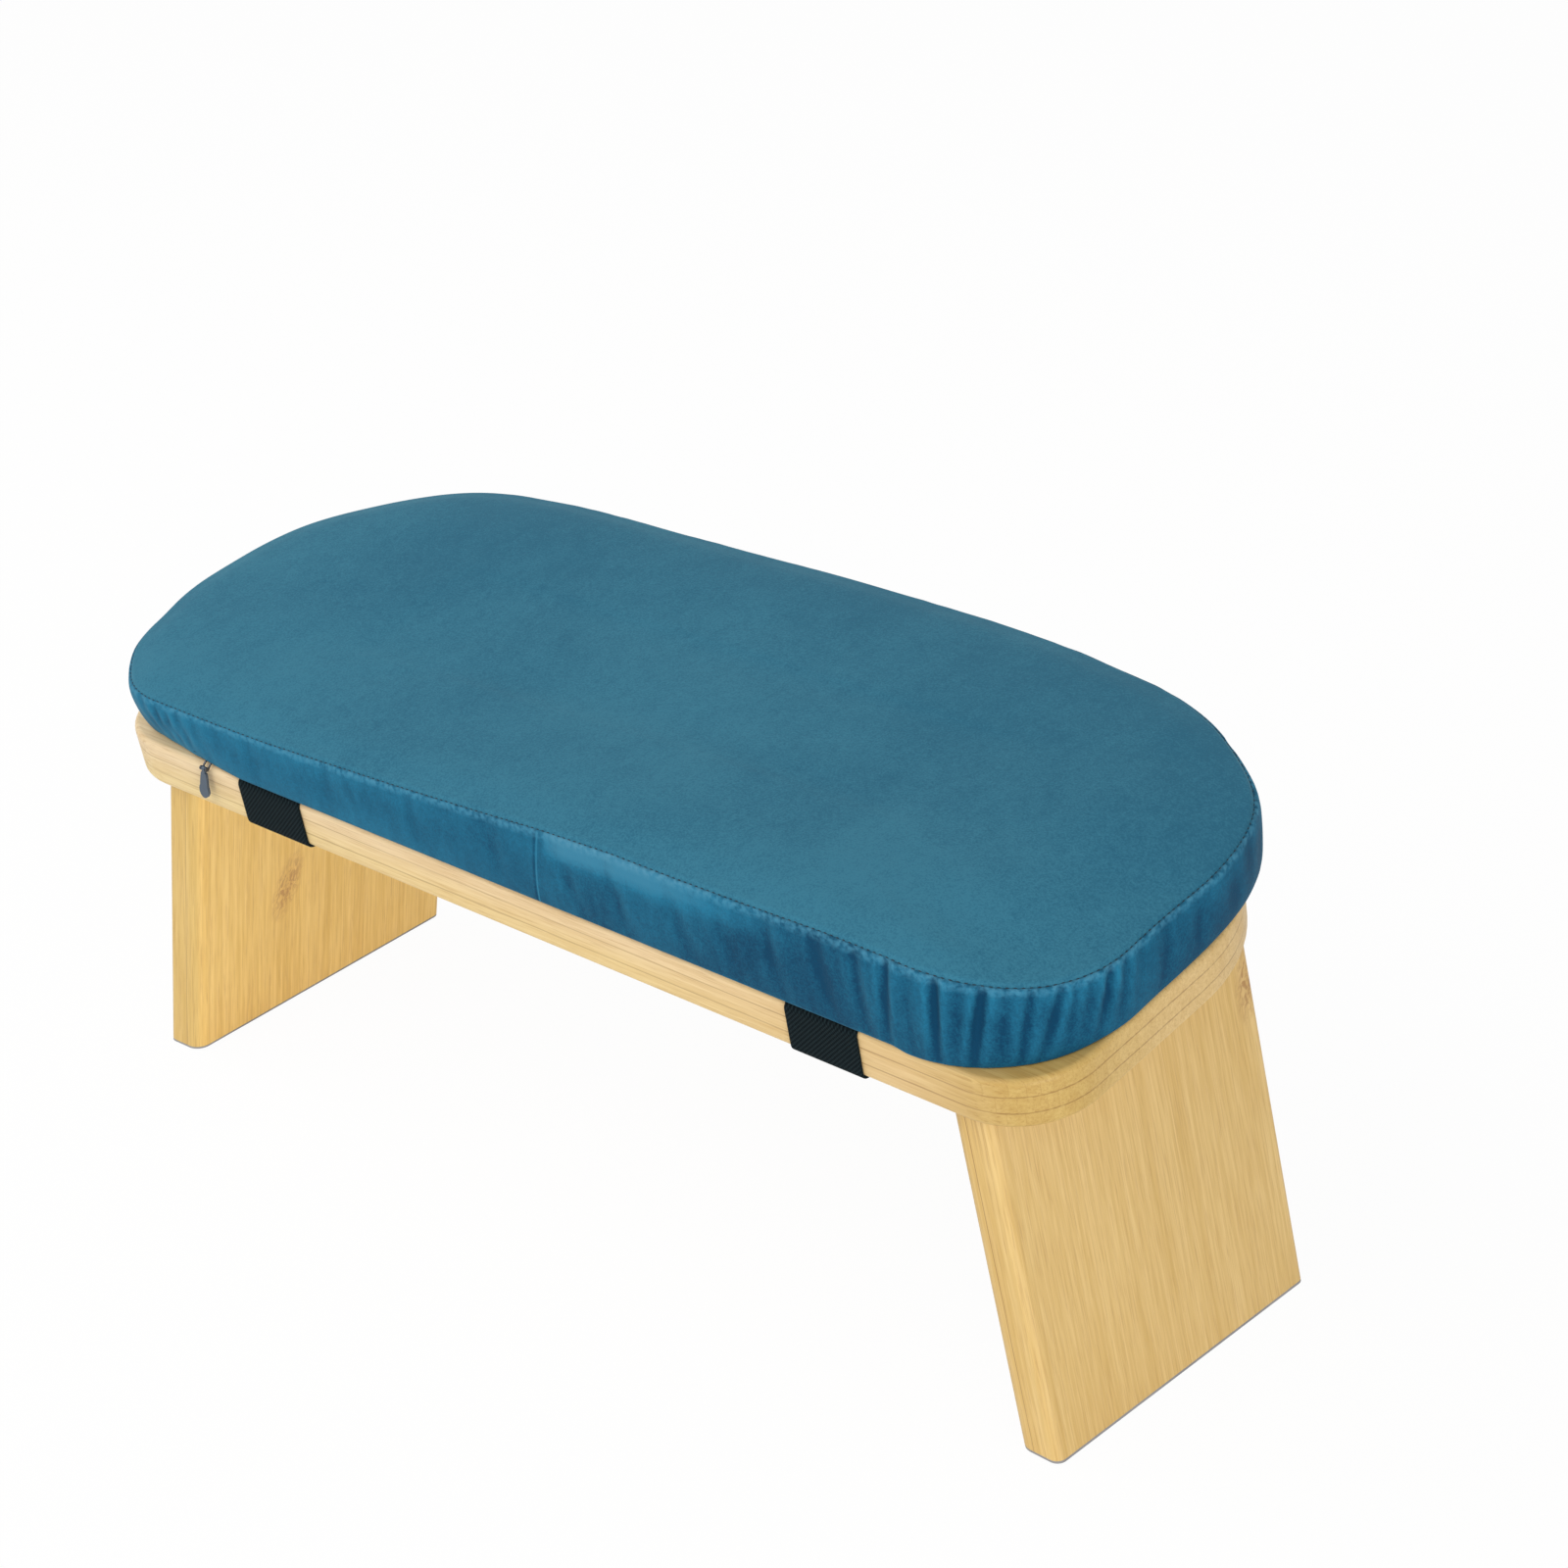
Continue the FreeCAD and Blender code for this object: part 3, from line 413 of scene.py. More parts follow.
def velvet_material(name, light, dark, patches, contrast, sheen, grain, pile_and_light):
    """Velvet with its nap, and painted shade in the bottom of the stitched seam. From the place and
    the cover's attribute, pile_and_light gives the pile's lift with its painted light and shade,
    the share of its painted highlight and its dents."""
    cushion = bpy.context.scene.bench_cushion
    material, shader, vector, place = new_material(name)
    cover = node(shader.id_data, "ShaderNodeAttribute", {"attribute_name": "cover"})
    cover = Wire(cover.outputs["Vector"]).split()
    lift, highlighted, dents = pile_and_light(vector, place, cover)
    colour, rough, height = from_group(shader, pile_group(), {
        "Vector": vector, "Patches": patches, "Light": light, "Dark": dark, "Lift": lift,
        "Contrast": contrast, "Grain": grain})
    # Painted shade darkens the bottom of the stitched seam, fainter towards the left end.
    seam = (cover[0].stripe(1.0, 0.004, 0.03, 0.55)
            * vector.noise(260.0).ramp(0.35, 0.6, 0.3, 1.0)
            * place[0].ramp(-190 * MM, -60 * MM, 0.35, 1.0))
    colour = seam.mix(colour, times(dark, 0.3))
    # The painted highlight's paler colour is mixed in.
    if highlighted is not None:
        colour = highlighted.mix(colour, cushion.highlighted)
    if dents is not None:
        height = height - dents
    surface(shader, colour, rough, height, 0.5, 0.22 * MM, {
        "Specular IOR Level": 0.1, "Sheen Weight": sheen, "Sheen Roughness": 0.4,
        "Sheen Tint": cushion.velvet_sheen})
    return material


def top_pile_gradient(vector, place, cover):
    """The top panel's pile is lighter towards its front and darker towards its rear."""
    return place[1].ramp(15 * MM, 195 * MM, 0.2, -0.25), None, None


def band_pile_and_light(vector, place, cover):
    """The band's pile is brushed about and carries painted light and shade, and an upright
    seam joins the band's ends.
    """
    level, nap, fold = cover
    # The joining seam leans a little; its right edge has a painted highlight and its left edge
    # painted shade.
    line = place[2] * JOIN_LEAN + (JOIN_X - 43 * MM * JOIN_LEAN) - place[0]
    front = place[1].ramp(8 * MM, 12 * MM, 1.0, 0.0)
    groove, shade, light = (line.stripe(middle * MM, inner * MM, outer * MM) * front
                            for middle, inner, outer in JOIN_STRIPES)
    # Painted shade darkens the gathers' valleys and a painted highlight lightens their ridges.
    lift = shade * -0.3 + nap * 0.8 + light * 0.8 + fold.ramp(-1.3, 1.0, -0.72, 0.55)
    # Under the seam a painted highlight gives the band a light, broken edge; there and where the
    # band is painted lightest, the highlight's paler colour is mixed in.
    rim = level.ramp(0.88, 0.97) * vector.noise(420.0).ramp(0.36, 0.62, 0.15, 1.0)
    highlighted = nap.ramp(0.45, 0.95) * 0.3 + rim * 0.45
    # The whole band is made darker as painted shade.
    return rim * 0.4 + lift - 0.16, highlighted, groove * 1.6


def lining_material():
    """Plain weave of the cushion's underside."""
    lining = bpy.context.scene.bench_cushion.lining
    material, shader, _, place = new_material("plain_lining")
    warp, weft = ((one * 9000.0).maths("SINE") for one in place[:2])
    weave = (warp * weft).ramp(-1.0, 1.0)
    surface(shader, weave.mix(times(lining, 0.7), times(lining, 1.4)), 0.9, weave, 0.4, 0.15 * MM)
    return material


def twill_material(name, low, high, pitch):
    """Woven elastic with ribs that rise to the right."""
    material, shader, vector, (x, y, z) = new_material(name)
    run = y - z
    turns = 2 * math.pi / pitch
    rib = ((x * 0.72 + run * 0.69) * turns).maths("SINE")
    across = ((x - run) * (turns * 0.9)).maths("SINE")
    rib = (across * 0.75 + rib).ramp(-0.8, 1.5)
    fuzz = vector.noise(2600.0)
    colour = fuzz.ramp(0.55, 0.75, 0.0, 0.25).mix(rib.mix(low, high), times(high, 2.0))
    surface(shader, colour, rib.ramp(0.0, 1.0, 0.95, 0.75), fuzz * 0.2 + rib, 0.7, 0.3 * MM,
            {"Specular IOR Level": 0.08})
    return material


def metal_material(name, colour, rough):
    """Plated steel with a fine rolled grain."""
    material, shader, vector, (x, y, z) = new_material(name)
    grain = combined(x * 60.0, y * 1400.0, z * 1400.0).noise(1.0)
    smudge = vector.noise(260.0)
    surface(shader, smudge.ramp(0.3, 0.7).mix(colour, times(colour, 0.78)),
            (smudge * 0.5 + grain * 0.5).ramp(0.3, 0.7, rough, rough + 0.14),
            grain, 0.12, 0.05 * MM, {"Metallic": 1.0})
    return material


def moulded_material(name, colour, rough, scale=700.0, strength=0.2):
    """Moulded plastic or rubber with a fine pebble."""
    material, shader, vector, _ = new_material(name)
    pebble = vector.noise(scale)
    surface(shader, vector.noise(40.0).ramp(0.35, 0.65).mix(colour, times(colour, 0.85)),
            pebble.ramp(0.3, 0.7, rough, rough + 0.1), pebble, strength, 0.08 * MM)
    return material


# ---------------------------------------------------------------- objects
def start_clean():
    """Nothing is selected and no object is being edited."""
    if bpy.context.mode != "OBJECT":
        bpy.ops.object.mode_set(mode="OBJECT")
    bpy.ops.object.select_all(action="DESELECT")


def only(piece):
    """Select one object alone and make it active."""
    start_clean()
    piece.select_set(True)
    bpy.context.view_layer.objects.active = piece


def linked(name, data):
    """Object made of a mesh or a camera, in the scene."""
    piece = bpy.data.objects.new(name, data)
    bpy.context.scene.collection.objects.link(piece)
    return piece


@contextmanager
def editing(piece):
    """Edit mode with the whole mesh selected."""
    only(piece)
    bpy.ops.object.mode_set(mode="EDIT")
    bpy.ops.mesh.select_all(action="SELECT")
    yield
    bpy.ops.object.mode_set(mode="OBJECT")


def face_outward():
    """In edit mode, turn every face outward."""
    bpy.ops.mesh.select_all(action="SELECT")
    bpy.ops.mesh.normals_make_consistent(inside=False)


def smooth(angle=35):
    """Smooth shading of the active object up to an angle in degrees."""
    bpy.ops.object.shade_smooth_by_angle(angle=math.radians(angle))


def finish_mesh(piece, angle):
    """Outward normals and smooth shading up to an angle."""
    with editing(piece):
        face_outward()
    smooth(angle)


def select_where(piece, kind, test):
    """In edit mode, select the vertices, edges or faces that a test accepts."""
    only(piece)
    modes = [kind == one for one in ("vertices", "edges", "polygons")]
    bpy.context.tool_settings.mesh_select_mode = modes
    bpy.ops.object.mode_set(mode="EDIT")
    bpy.ops.mesh.select_all(action="DESELECT")
    bpy.ops.object.mode_set(mode="OBJECT")
    chosen = [one for one in getattr(piece.data, kind) if test(one)]
    if not chosen:
        raise RuntimeError("nothing to select on " + piece.name)
    for one in chosen:
        one.select = True
    bpy.ops.object.mode_set(mode="EDIT")


def apply_modifier(piece, kind, **settings):
    """Add a modifier and apply it."""
    only(piece)
    modifier = piece.modifiers.new(kind.title(), kind)
    for key, value in settings.items():
        setattr(modifier, key, value)
    bpy.ops.object.modifier_apply(modifier=modifier.name)


def ease_edges(piece, width, segments=2, angle=50):
    """Round the edges that are sharper than an angle in degrees."""
    apply_modifier(piece, "BEVEL", width=width, segments=segments, limit_method="ANGLE",
                   angle_limit=math.radians(angle))


def assign(piece, material, body, slot, *nodes):
    """Give a piece its material and its body, and hide the CAD nodes that it stands for.
    Its slot is not used.
    """
    piece.data.materials.clear()
    piece.data.materials.append(material)
    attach(piece, body)
    if nodes:
        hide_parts(*nodes)


def dressed(name, node_name, body, slot, material, ease=0.0, segments=2):
    """Welded and smooth copy of a CAD node, its edges eased, that takes the node's place."""
    start_clean()
    piece = linked(name, NODES[node_name].data.copy())
    with editing(piece):
        bpy.ops.mesh.remove_doubles(threshold=0.004 * MM)
    if piece.data.has_custom_normals:
        bpy.ops.mesh.customdata_custom_splitnormals_clear()
    smooth()
    if ease:
        ease_edges(piece, ease, segments)
    assign(piece, material, body, slot, node_name)
    return piece


def repeated(name, template, places):
    """One object out of many copies of a template's mesh, each put in its own place."""
    points = np.array([v.co for v in template.data.vertices])
    polygons = [tuple(p.vertices) for p in template.data.polygons]
    verts, faces = [], []
    for matrix in places:
        base = len(verts)
        turned = points @ np.array(matrix.to_3x3()).T + np.array(matrix.translation)
        verts.extend(map(tuple, turned))
        faces.extend(tuple(base + i for i in polygon) for polygon in polygons)
    mesh = bpy.data.meshes.new(name)
    mesh.from_pydata(verts, [], faces)
    mesh.polygons.foreach_set("use_smooth", [True] * len(faces))
    bpy.data.objects.remove(template)
    return linked(name, mesh)


# ---------------------------------------------------------------- cushion
CUSHION_HALF = 250.5 * MM
CUSHION_FRONT = -0.4 * MM
CUSHION_REAR = 200.4 * MM
REAR_CORNER = 98 * MM
REAR_BOW = 1300 * MM
REAR_FLAT = 75 * MM
LEFT_FRONT_CORNER = 43 * MM
RIGHT_FRONT_CORNER = 57 * MM
SIDE_DRAW = 0.012
# Where the right front corner and the right rear corner part the outline's sides
RIGHT_BREAK = (CUSHION_HALF - 0.2929 * RIGHT_FRONT_CORNER,
               CUSHION_FRONT + 0.2929 * RIGHT_FRONT_CORNER)
REAR_BREAK = (CUSHION_HALF - 0.29 * REAR_CORNER - 10 * MM, CUSHION_REAR - 0.34 * REAR_CORNER)
FRONT_SEGMENTS = 140
SIDE_SEGMENTS = 44
RING_SEGMENTS = (FRONT_SEGMENTS, SIDE_SEGMENTS, FRONT_SEGMENTS, SIDE_SEGMENTS)
# The plain grid in the middle of the cushion
CORE_X = 150 * MM
CORE_FRONT = 62 * MM
CORE_REAR = 132 * MM
UNDERSIDE_LEVEL = 22.45 * MM
# How far apart the outline's direction is taken, and how far the band ends under the seam
SAMPLE_STEP = 2 * MM
SEAM_DROP = 0.3 * MM
# Where the front's hem gives way to the sides' over the depth, where the zip's wall ends past the
# zip, and how far in from the seam the crown, the evened height and the waves reach
FRONT_END, FRONT_FADE = 45 * MM, 28 * MM
ZIP_PAST, ZIP_FADE = 4 * MM, 7 * MM
CROWN_REACH, EVEN_REACH, WAVE_REACH = 12 * MM, 50 * MM, 20 * MM
# Where the filling swells or slumps: place, how far out and over what reach, in millimetres
OUTLINE_EASE = (
    (-250, 76, 8.5, 42), (-255, 98, 4.2, 34), (-257, 66, 2.8, 20), (-250, 125, 1.5, 20),
    (-238, 140, 4.5, 36), (-205, 182, 3.1, 32), (-168, 197, -1.0, 14), (-90, 200, -0.7, 22),
    (-240, 12, -1.0, 12), (45, 200, 3.4, 75), (-10, 200, 2.0, 50), (145, 198, -1.3, 24),
    (182, 193, -3.2, 28), (212, 178, -2.6, 26), (238, 146, 2.2, 24))
# Where the outline is divided more finely: place, reach and weight, in metres
FINER = ((0.225, 0.02, 0.06, 1.9), (-0.235, 0.015, 0.04, 0.9))
# Height of the top seam above the board's underside over x, along the front and the rear, in
# millimetres, and how far the hem is drawn in under the left front corner
SEAM_FRONT = (
    (-250, 45.5), (-204, 45.5), (-173, 45.5), (-142, 46), (-115, 47.5), (-65, 50.5), (-17, 54),
    (18, 57), (56, 59), (89, 59.2), (125, 60), (160, 61.2), (190, 61), (207, 59.4), (224, 56),
    (240, 51.8), (250, 49.6))
SEAM_REAR = (
    (-255, 49.5), (-240, 48.8), (-190, 48.6), (-150, 50), (0, 52.5), (120, 53.5), (200, 53),
    (250, 49.6))
HEM_DRAW = (
    (-250, 0), (-240, 2.0), (-228, 5.0), (-217, 7.2), (-205, 6.5), (-197, 5.2), (-190, 3.6),
    (-184, 2.6), (-172, 1.2), (-160, 0))
# Gathers of the side band: place along the outline, depth, width, and slant down the band
PUCKERS = (
    (26, 0.5, 1.8, 5), (33, 0.6, 1.5, 7), (39, 0.8, 1.5, 8), (47, 0.6, 1.7, 8),
    (58, 0.35, 2.2, 6), (92, 0.22, 3.0, 5), (140, 0.2, 3.5, -5), (186, 0.2, 3.2, 6),
    (231, 0.22, 3.0, 5), (268, 0.4, 2.2, 11), (294, 0.45, 2.5, 9), (324, 0.35, 3.0, 12),
    (349, 0.3, 2.8, 9), (373, 0.42, 2.4, 6), (397, 0.42, 2.5, 6), (416, 0.6, 2.1, 2),
    (430.5, 1.15, 1.6, -3.5), (440, 0.3, 1.4, -2), (450.3, 1.6, 1.5, -2.6),
    (459, 0.35, 1.5, -4), (467.6, 1.4, 1.6, -7), (476, 0.35, 1.5, -6),
    (484.5, 0.85, 1.4, -7.7), (495.3, 1.1, 1.5, -11.5), (500.5, 0.6, 1.2, -8),
    (507, 0.4, 1.6, -8), (515, 1.5, 1.6, -9.3), (522.5, 0.7, 1.6, -8), (531, 0.4, 2.0, -7),
    (546, 0.35, 2.6, -6), (566, 0.3, 3.0, -5), (590, 0.4, 2.6, -5), (601, 0.5, 2.2, -4),
    (613, 0.55, 2.2, 3), (626, 0.5, 2.2, 4), (641, 0.45, 2.4, 4), (660, 0.35, 2.8, 5),
    (705, 0.3, 3.2, 5), (760, 0.25, 3.5, -5), (828, 0.3, 3.2, 5), (895, 0.25, 3.4, -5),
    (950, 0.3, 3.0, 5), (1002, 0.4, 2.6, 5), (1019, 0.5, 2.3, 4), (1034, 0.5, 2.2, -4),
    (1048, 0.5, 2.3, -4), (1066, 0.4, 2.6, -5), (1104, 0.3, 3.2, 4), (1150, 0.35, 2.6, 5),
    (1172, 0.5, 2.0, 6), (1184, 0.55, 1.8, 6), (1196, 0.5, 1.8, 6))
# Where a gather's ridges stand and where it ends, in its widths from its valley
RIDGE_PLACE, GATHER_REACH = 2.1, 5
# The seam that joins the band's ends: where it is, its lean, and its groove, its edge with
# painted shade and its edge with a painted highlight, each with its middle and its inner and outer
# distance in millimetres
JOIN_X, JOIN_LEAN = 16.2 * MM, 0.17
JOIN_STRIPES = ((0.0, 0.25, 0.8), (0.9, 0.2, 1.1), (-0.5, 0.1, 0.6))
# Rings from the underside to the top: how much of the hem's draw each lower ring takes, where
# the band's rings stand on its height, the seam's two rings with their insets in millimetres and
# shares of the groove's depth, insets of the top's outer rings, and shares of the way to its core
PROFILE_DRAW = (0.0, 0.3, 0.5, 0.5, 1.0, 1.0, 1.0, 1.0)
BAND_SHARES = (0.035, 0.09, 0.16, 0.24, 0.33, 0.43, 0.53, 0.63, 0.73, 0.82, 0.89, 0.94, 0.975)
SEAM_RINGS = ((0.85, 0.15), (1.35, 1.1))
TOP_INSETS = (1.9, 2.9, 4.4, 6.8, 10.0, 14.5)
TOP_SHARES = (0.30, 0.48, 0.68, 0.86, 1.0)
# The band's first ring, and how many strips of faces round the underside's core are lining
BAND_LEVEL = 1 + len(PROFILE_DRAW)
LINED_STRIPS = 4
# How level the cover's attribute says that a ring is: 0 to 1 on the band, above 2 on the top
ON_TOP = 3.0
RING_LEVELS = (*BAND_SHARES, 1.0, 1.0, *(2.0 + 0.04 * inset for inset in TOP_INSETS),
               *(ON_TOP for _ in TOP_SHARES))
CLOTH = {"quality": 5, "mass": 0.3, "tension_stiffness": 12, "compression_stiffness": 12,
         "shear_stiffness": 6, "bending_stiffness": 0.6, "use_pressure": True,
         "vertex_group_mass": "held", "pin_stiffness": 0.6}
CLOTH_STEPS = 20
EVENING_ROUNDS = 10


def smoothstep(value):
    """Smooth rise from 0 to 1 of a value or of many."""
    value = np.clip(value, 0.0, 1.0)
    return value * value * (3 - 2 * value)


def along_table(table, x):
    """A table's values in millimetres, straight between its rows, at places in metres."""
    return np.interp(x / MM, *zip(*table))


def noise_at(x, y, z):
    """Noise at many places."""
    return np.array([noise.noise(Vector(place)) for place in zip(*np.broadcast_arrays(x, y, z))])


def arc_points(centre, radius, start, end, count):
    """Points on an arc, its end left out."""
    turn = start + (end - start) * np.arange(count) / count
    return np.array(centre) + radius * np.column_stack([np.cos(turn), np.sin(turn)])


def run_points(start, end, draw, count):
    """Points on a stretch drawn in at its middle, its end left out."""
    run = np.subtract(end, start)
    inward = np.array((-run[1], run[0])) * draw
    t = np.arange(count)[:, None] / count
    return np.array(start) + run * t + inward * (4 * t * (1 - t))


def cushion_outline():
    """Dense closed outline, anticlockwise from the middle of the left front corner."""
    half, front, rear, quarter = CUSHION_HALF, CUSHION_FRONT, CUSHION_REAR, math.pi / 2
    bow_y = rear - REAR_BOW
    side_x = half - REAR_CORNER
    corner_y = bow_y + math.sqrt((REAR_BOW - REAR_CORNER) ** 2 - (side_x - REAR_FLAT) ** 2)
    turn = math.atan2(corner_y - bow_y, side_x - REAR_FLAT)
    left = (LEFT_FRONT_CORNER - half, front + LEFT_FRONT_CORNER)
    right = (half - RIGHT_FRONT_CORNER, front + RIGHT_FRONT_CORNER)
    points = np.vstack([
        arc_points(left, LEFT_FRONT_CORNER, 2.5 * quarter, 3 * quarter, 100),
        run_points((left[0], front), (right[0], front), 0.0, 800),
        arc_points(right, RIGHT_FRONT_CORNER, -quarter, 0, 200),
        run_points((half, right[1]), (half, corner_y), SIDE_DRAW, 100),
        arc_points((side_x, corner_y), REAR_CORNER, 0, turn, 250),
        arc_points((REAR_FLAT, bow_y), REAR_BOW, turn, quarter, 200),
        run_points((REAR_FLAT, rear), (-REAR_FLAT, rear), SIDE_DRAW, 250),
        arc_points((-REAR_FLAT, bow_y), REAR_BOW, quarter, math.pi - turn, 200),
        arc_points((-side_x, corner_y), REAR_CORNER, math.pi - turn, math.pi, 250),
        run_points((-half, corner_y), (-half, left[1]), SIDE_DRAW, 100),
        arc_points(left, LEFT_FRONT_CORNER, math.pi, 2.5 * quarter, 100)])
    run = np.roll(points, -3, axis=0) - np.roll(points, 3, axis=0)
    run /= np.hypot(*run.T)[:, None]
    outward = np.column_stack([run[:, 1], -run[:, 0]])
    for x, y, out, reach in OUTLINE_EASE:
        away = np.hypot(points[:, 0] - x * MM, points[:, 1] - y * MM) / (reach * MM)
        points += outward * (out * MM * np.exp(-away ** 2))[:, None]
    return points


def sampled_outline():
    """Ring points, outward normals and lengths along the outline, finer at the front corners."""
    dense = cushion_outline()
    closed = np.vstack([dense, dense[:1]])
    steps = np.hypot(*np.diff(closed, axis=0).T)
    length = np.concatenate([[0], np.cumsum(steps)])
    x, y = closed.T
    # The front is divided more finely than the rear, and its corners most.
    weight = 0.75 + 0.45 / (1.0 + np.exp((y - 0.05) / 0.012))
    for fine_x, fine_y, reach, more in FINER:
        weight += more * np.exp(-((x - fine_x) ** 2 + (y - fine_y) ** 2) / reach ** 2)

    def nearest(to_x, to_y):
        """Index of the outline's point nearest to a place."""
        return int(np.argmin(np.hypot(x - to_x, y - to_y)))

    def at(where):
        """Points at lengths along the outline."""
        return np.column_stack([np.interp(where, length, x), np.interp(where, length, y)])

    # The outline's four sides, which answer to the core's, begin in its corners.
    breaks = (0, nearest(*RIGHT_BREAK), nearest(*REAR_BREAK),
              nearest(-REAR_BREAK[0], REAR_BREAK[1]), len(dense))
    places = []
    for start, end, count in zip(breaks, breaks[1:], RING_SEGMENTS):
        mass = np.concatenate([[0], np.cumsum(steps[start:end] * weight[start:end])])
        wanted = np.linspace(0, mass[-1], count, endpoint=False)
        places.append(np.interp(wanted, mass, length[start:end + 1]))
    places = np.concatenate(places)
    tangent = at(places + SAMPLE_STEP) - at((places - SAMPLE_STEP) % length[-1])
    tangent /= np.hypot(*tangent.T)[:, None]
    return at(places), np.column_stack([tangent[:, 1], -tangent[:, 0]]), places


def core_ring():
    """Points round the plain grid in the middle of the cushion, one for each ring point."""
    corners = np.array([(-CORE_X, CORE_FRONT), (CORE_X, CORE_FRONT), (CORE_X, CORE_REAR),
                        (-CORE_X, CORE_REAR)])
    return np.array([start + (end - start) * i / count
                     for start, end, count in zip(corners, np.roll(corners, -1, 0), RING_SEGMENTS)
                     for i in range(count)])


def seam_height(x, y):
    """Height of the top seam's surface over the seat frame's plane."""
    front, rear = along_table(SEAM_FRONT, x), along_table(SEAM_REAR, x)
    share = smoothstep((y - CUSHION_FRONT) / (CUSHION_REAR - CUSHION_FRONT))
    return (front + (rear - front) * share) * MM


def fold_fade(share):
    """Share of a gather's depth that is left near the hem and near the seam."""
    return min(1.0, 0.25 + 1.6 * share) * (1.0 if share < 0.9 else 0.8)


def band_relief(s, share):
    """How far the band's cloth stands out at lengths along the outline, at a share of its
    height: a valley with two ridges at each gather."""
    relief = np.zeros(len(s))
    for place, depth, width, slant in PUCKERS:
        away = (s - place * MM - slant * MM * (1 - share)) / (width * MM)
        fold = 0.5 * np.exp(-(abs(away) - RIDGE_PLACE) ** 2) - np.exp(-away * away)
        relief += depth * fold * (abs(away) < GATHER_REACH)
    # Round the right corner the gathers run out towards the hem.
    corner = smoothstep((s / MM - 478) / 30) * smoothstep((545 - s / MM) / 15)
    relief *= 1 - 0.75 * corner * (1 - share)
    slow = noise_at(s * 38, share * 1.2, 3.7)
    quick = noise_at(s * 130, share * 1.6, 9.1)
    return relief + 0.38 * slow + 0.2 * quick


def band_nap_and_shading(s, share):
    """How light the band is at lengths in millimetres along the outline, with painted light and
    shade.
    """
    rise = smoothstep((share - 0.55) / 0.3)
    # Lighter: a painted highlight in a strip under the seam beside the joining seam, the left end,
    # and painted light along the top edge
    strip = smoothstep((s - 259) / 10) * smoothstep((405 - s) / 90) * rise
    left = smoothstep((s - 15) / 30) * smoothstep((250 - s) / 60) * (0.42 - 0.2 * share)
    upper = 0.22 * rise - 0.45 * np.exp(-((s - 385) / 50) ** 2)
    # Darker: painted shade on the band's lower part towards the right corner
    low = 0.22 * smoothstep((s - 430) / 40) * smoothstep((640 - s) / 60) * (1 - share)
    return np.minimum(1.0, 0.75 * strip + left + upper - low)


def cushion_profile(zip_share, front_share):
    """Insets and heights in millimetres of the rings from the underside up to the hem."""
    lift = 3.6 * zip_share
    hem = 1.25 * zip_share
    out = 1.6 * front_share
    level = UNDERSIDE_LEVEL / MM
    return ((26.0, level), (14.0, level), (10.2, level), (9.6, 22.5 + lift),
            (2.2 - 0.6 * front_share, level + lift),
            (1.6 - out - 0.4 * zip_share, 22.1 + 0.6 * lift), (1.15 - out, 21.45 + hem),
            (0.75 - out, 21.2 + hem))


def top_height(x, y, edge_x, edge_y, seam):
    """Height of the top panel at places, given the nearest places on its seam and the seam's
    height there."""
    crown = bpy.context.scene.bench_cushion.crown
    away = np.hypot(x - edge_x, y - edge_y)
    rise = crown * (1 - np.exp(-away / CROWN_REACH))
    waves = MM * (0.9 * noise_at(x * 11, y * 14, 1.3) + 0.35 * noise_at(x * 34, y * 30, 5.1))
    rest = (seam_height(x, y) - seam) * smoothstep(away / EVEN_REACH)
    return seam + rest + rise + waves * smoothstep(away / WAVE_REACH)


def cushion_rings():
    """Rings of points from the underside to the core of the top, in the seat frame, and the
    points' lengths along the outline."""
    props = bpy.context.scene.bench_cushion
    ring, normal, places = sampled_outline()
    x, y = ring.T
    core = core_ring()
    seams = seam_height(x, y)
    front_share = smoothstep((FRONT_END - y) / FRONT_FADE)
    zip_share = front_share * smoothstep((ZIP_HALF_LENGTH + ZIP_PAST - abs(x)) / ZIP_FADE)
    draw = (along_table(HEM_DRAW, x) * front_share
            + 1.6 * smoothstep((x / MM - 235) / 10) * smoothstep((y / MM - 80) / 30))

    def pushed(out, height):
        """The outline moved outwards by millimetres, at a height in metres."""
        flat = ring + normal * np.reshape(out, (-1, 1)) * MM
        return np.column_stack([flat, np.broadcast_to(height, len(ring))])

    rings = [np.column_stack([core, np.full(len(core), UNDERSIDE_LEVEL)])]
    for (inset, height), share in zip(cushion_profile(zip_share, front_share), PROFILE_DRAW):
        rings.append(pushed(-(inset + draw * share), height * MM))
    low = rings[-1][:, 2]
    for share in BAND_SHARES:
        out = props.bulge / MM * (1 - abs(2 * share - 1) ** 3.2) - 0.4 * share
        out = out + (1.6 * front_share - 0.75) * (1 - share) ** 2 - draw * (1 - share) ** 1.6
        out += band_relief(places, share) * fold_fade(share) * props.pucker / MM
        rings.append(pushed(out, low + (seams - SEAM_DROP - low) * share))
    for inset, depth in SEAM_RINGS:
        rings.append(pushed(-inset, seams - props.seam_groove * depth))
    flats = [ring - normal * inset * MM for inset in TOP_INSETS]
    last = flats[-1]
    for flat in flats + [last + (core - last) * share for share in TOP_SHARES]:
        rings.append(np.column_stack([flat, top_height(*flat.T, x, y, seams)]))
    return rings, places


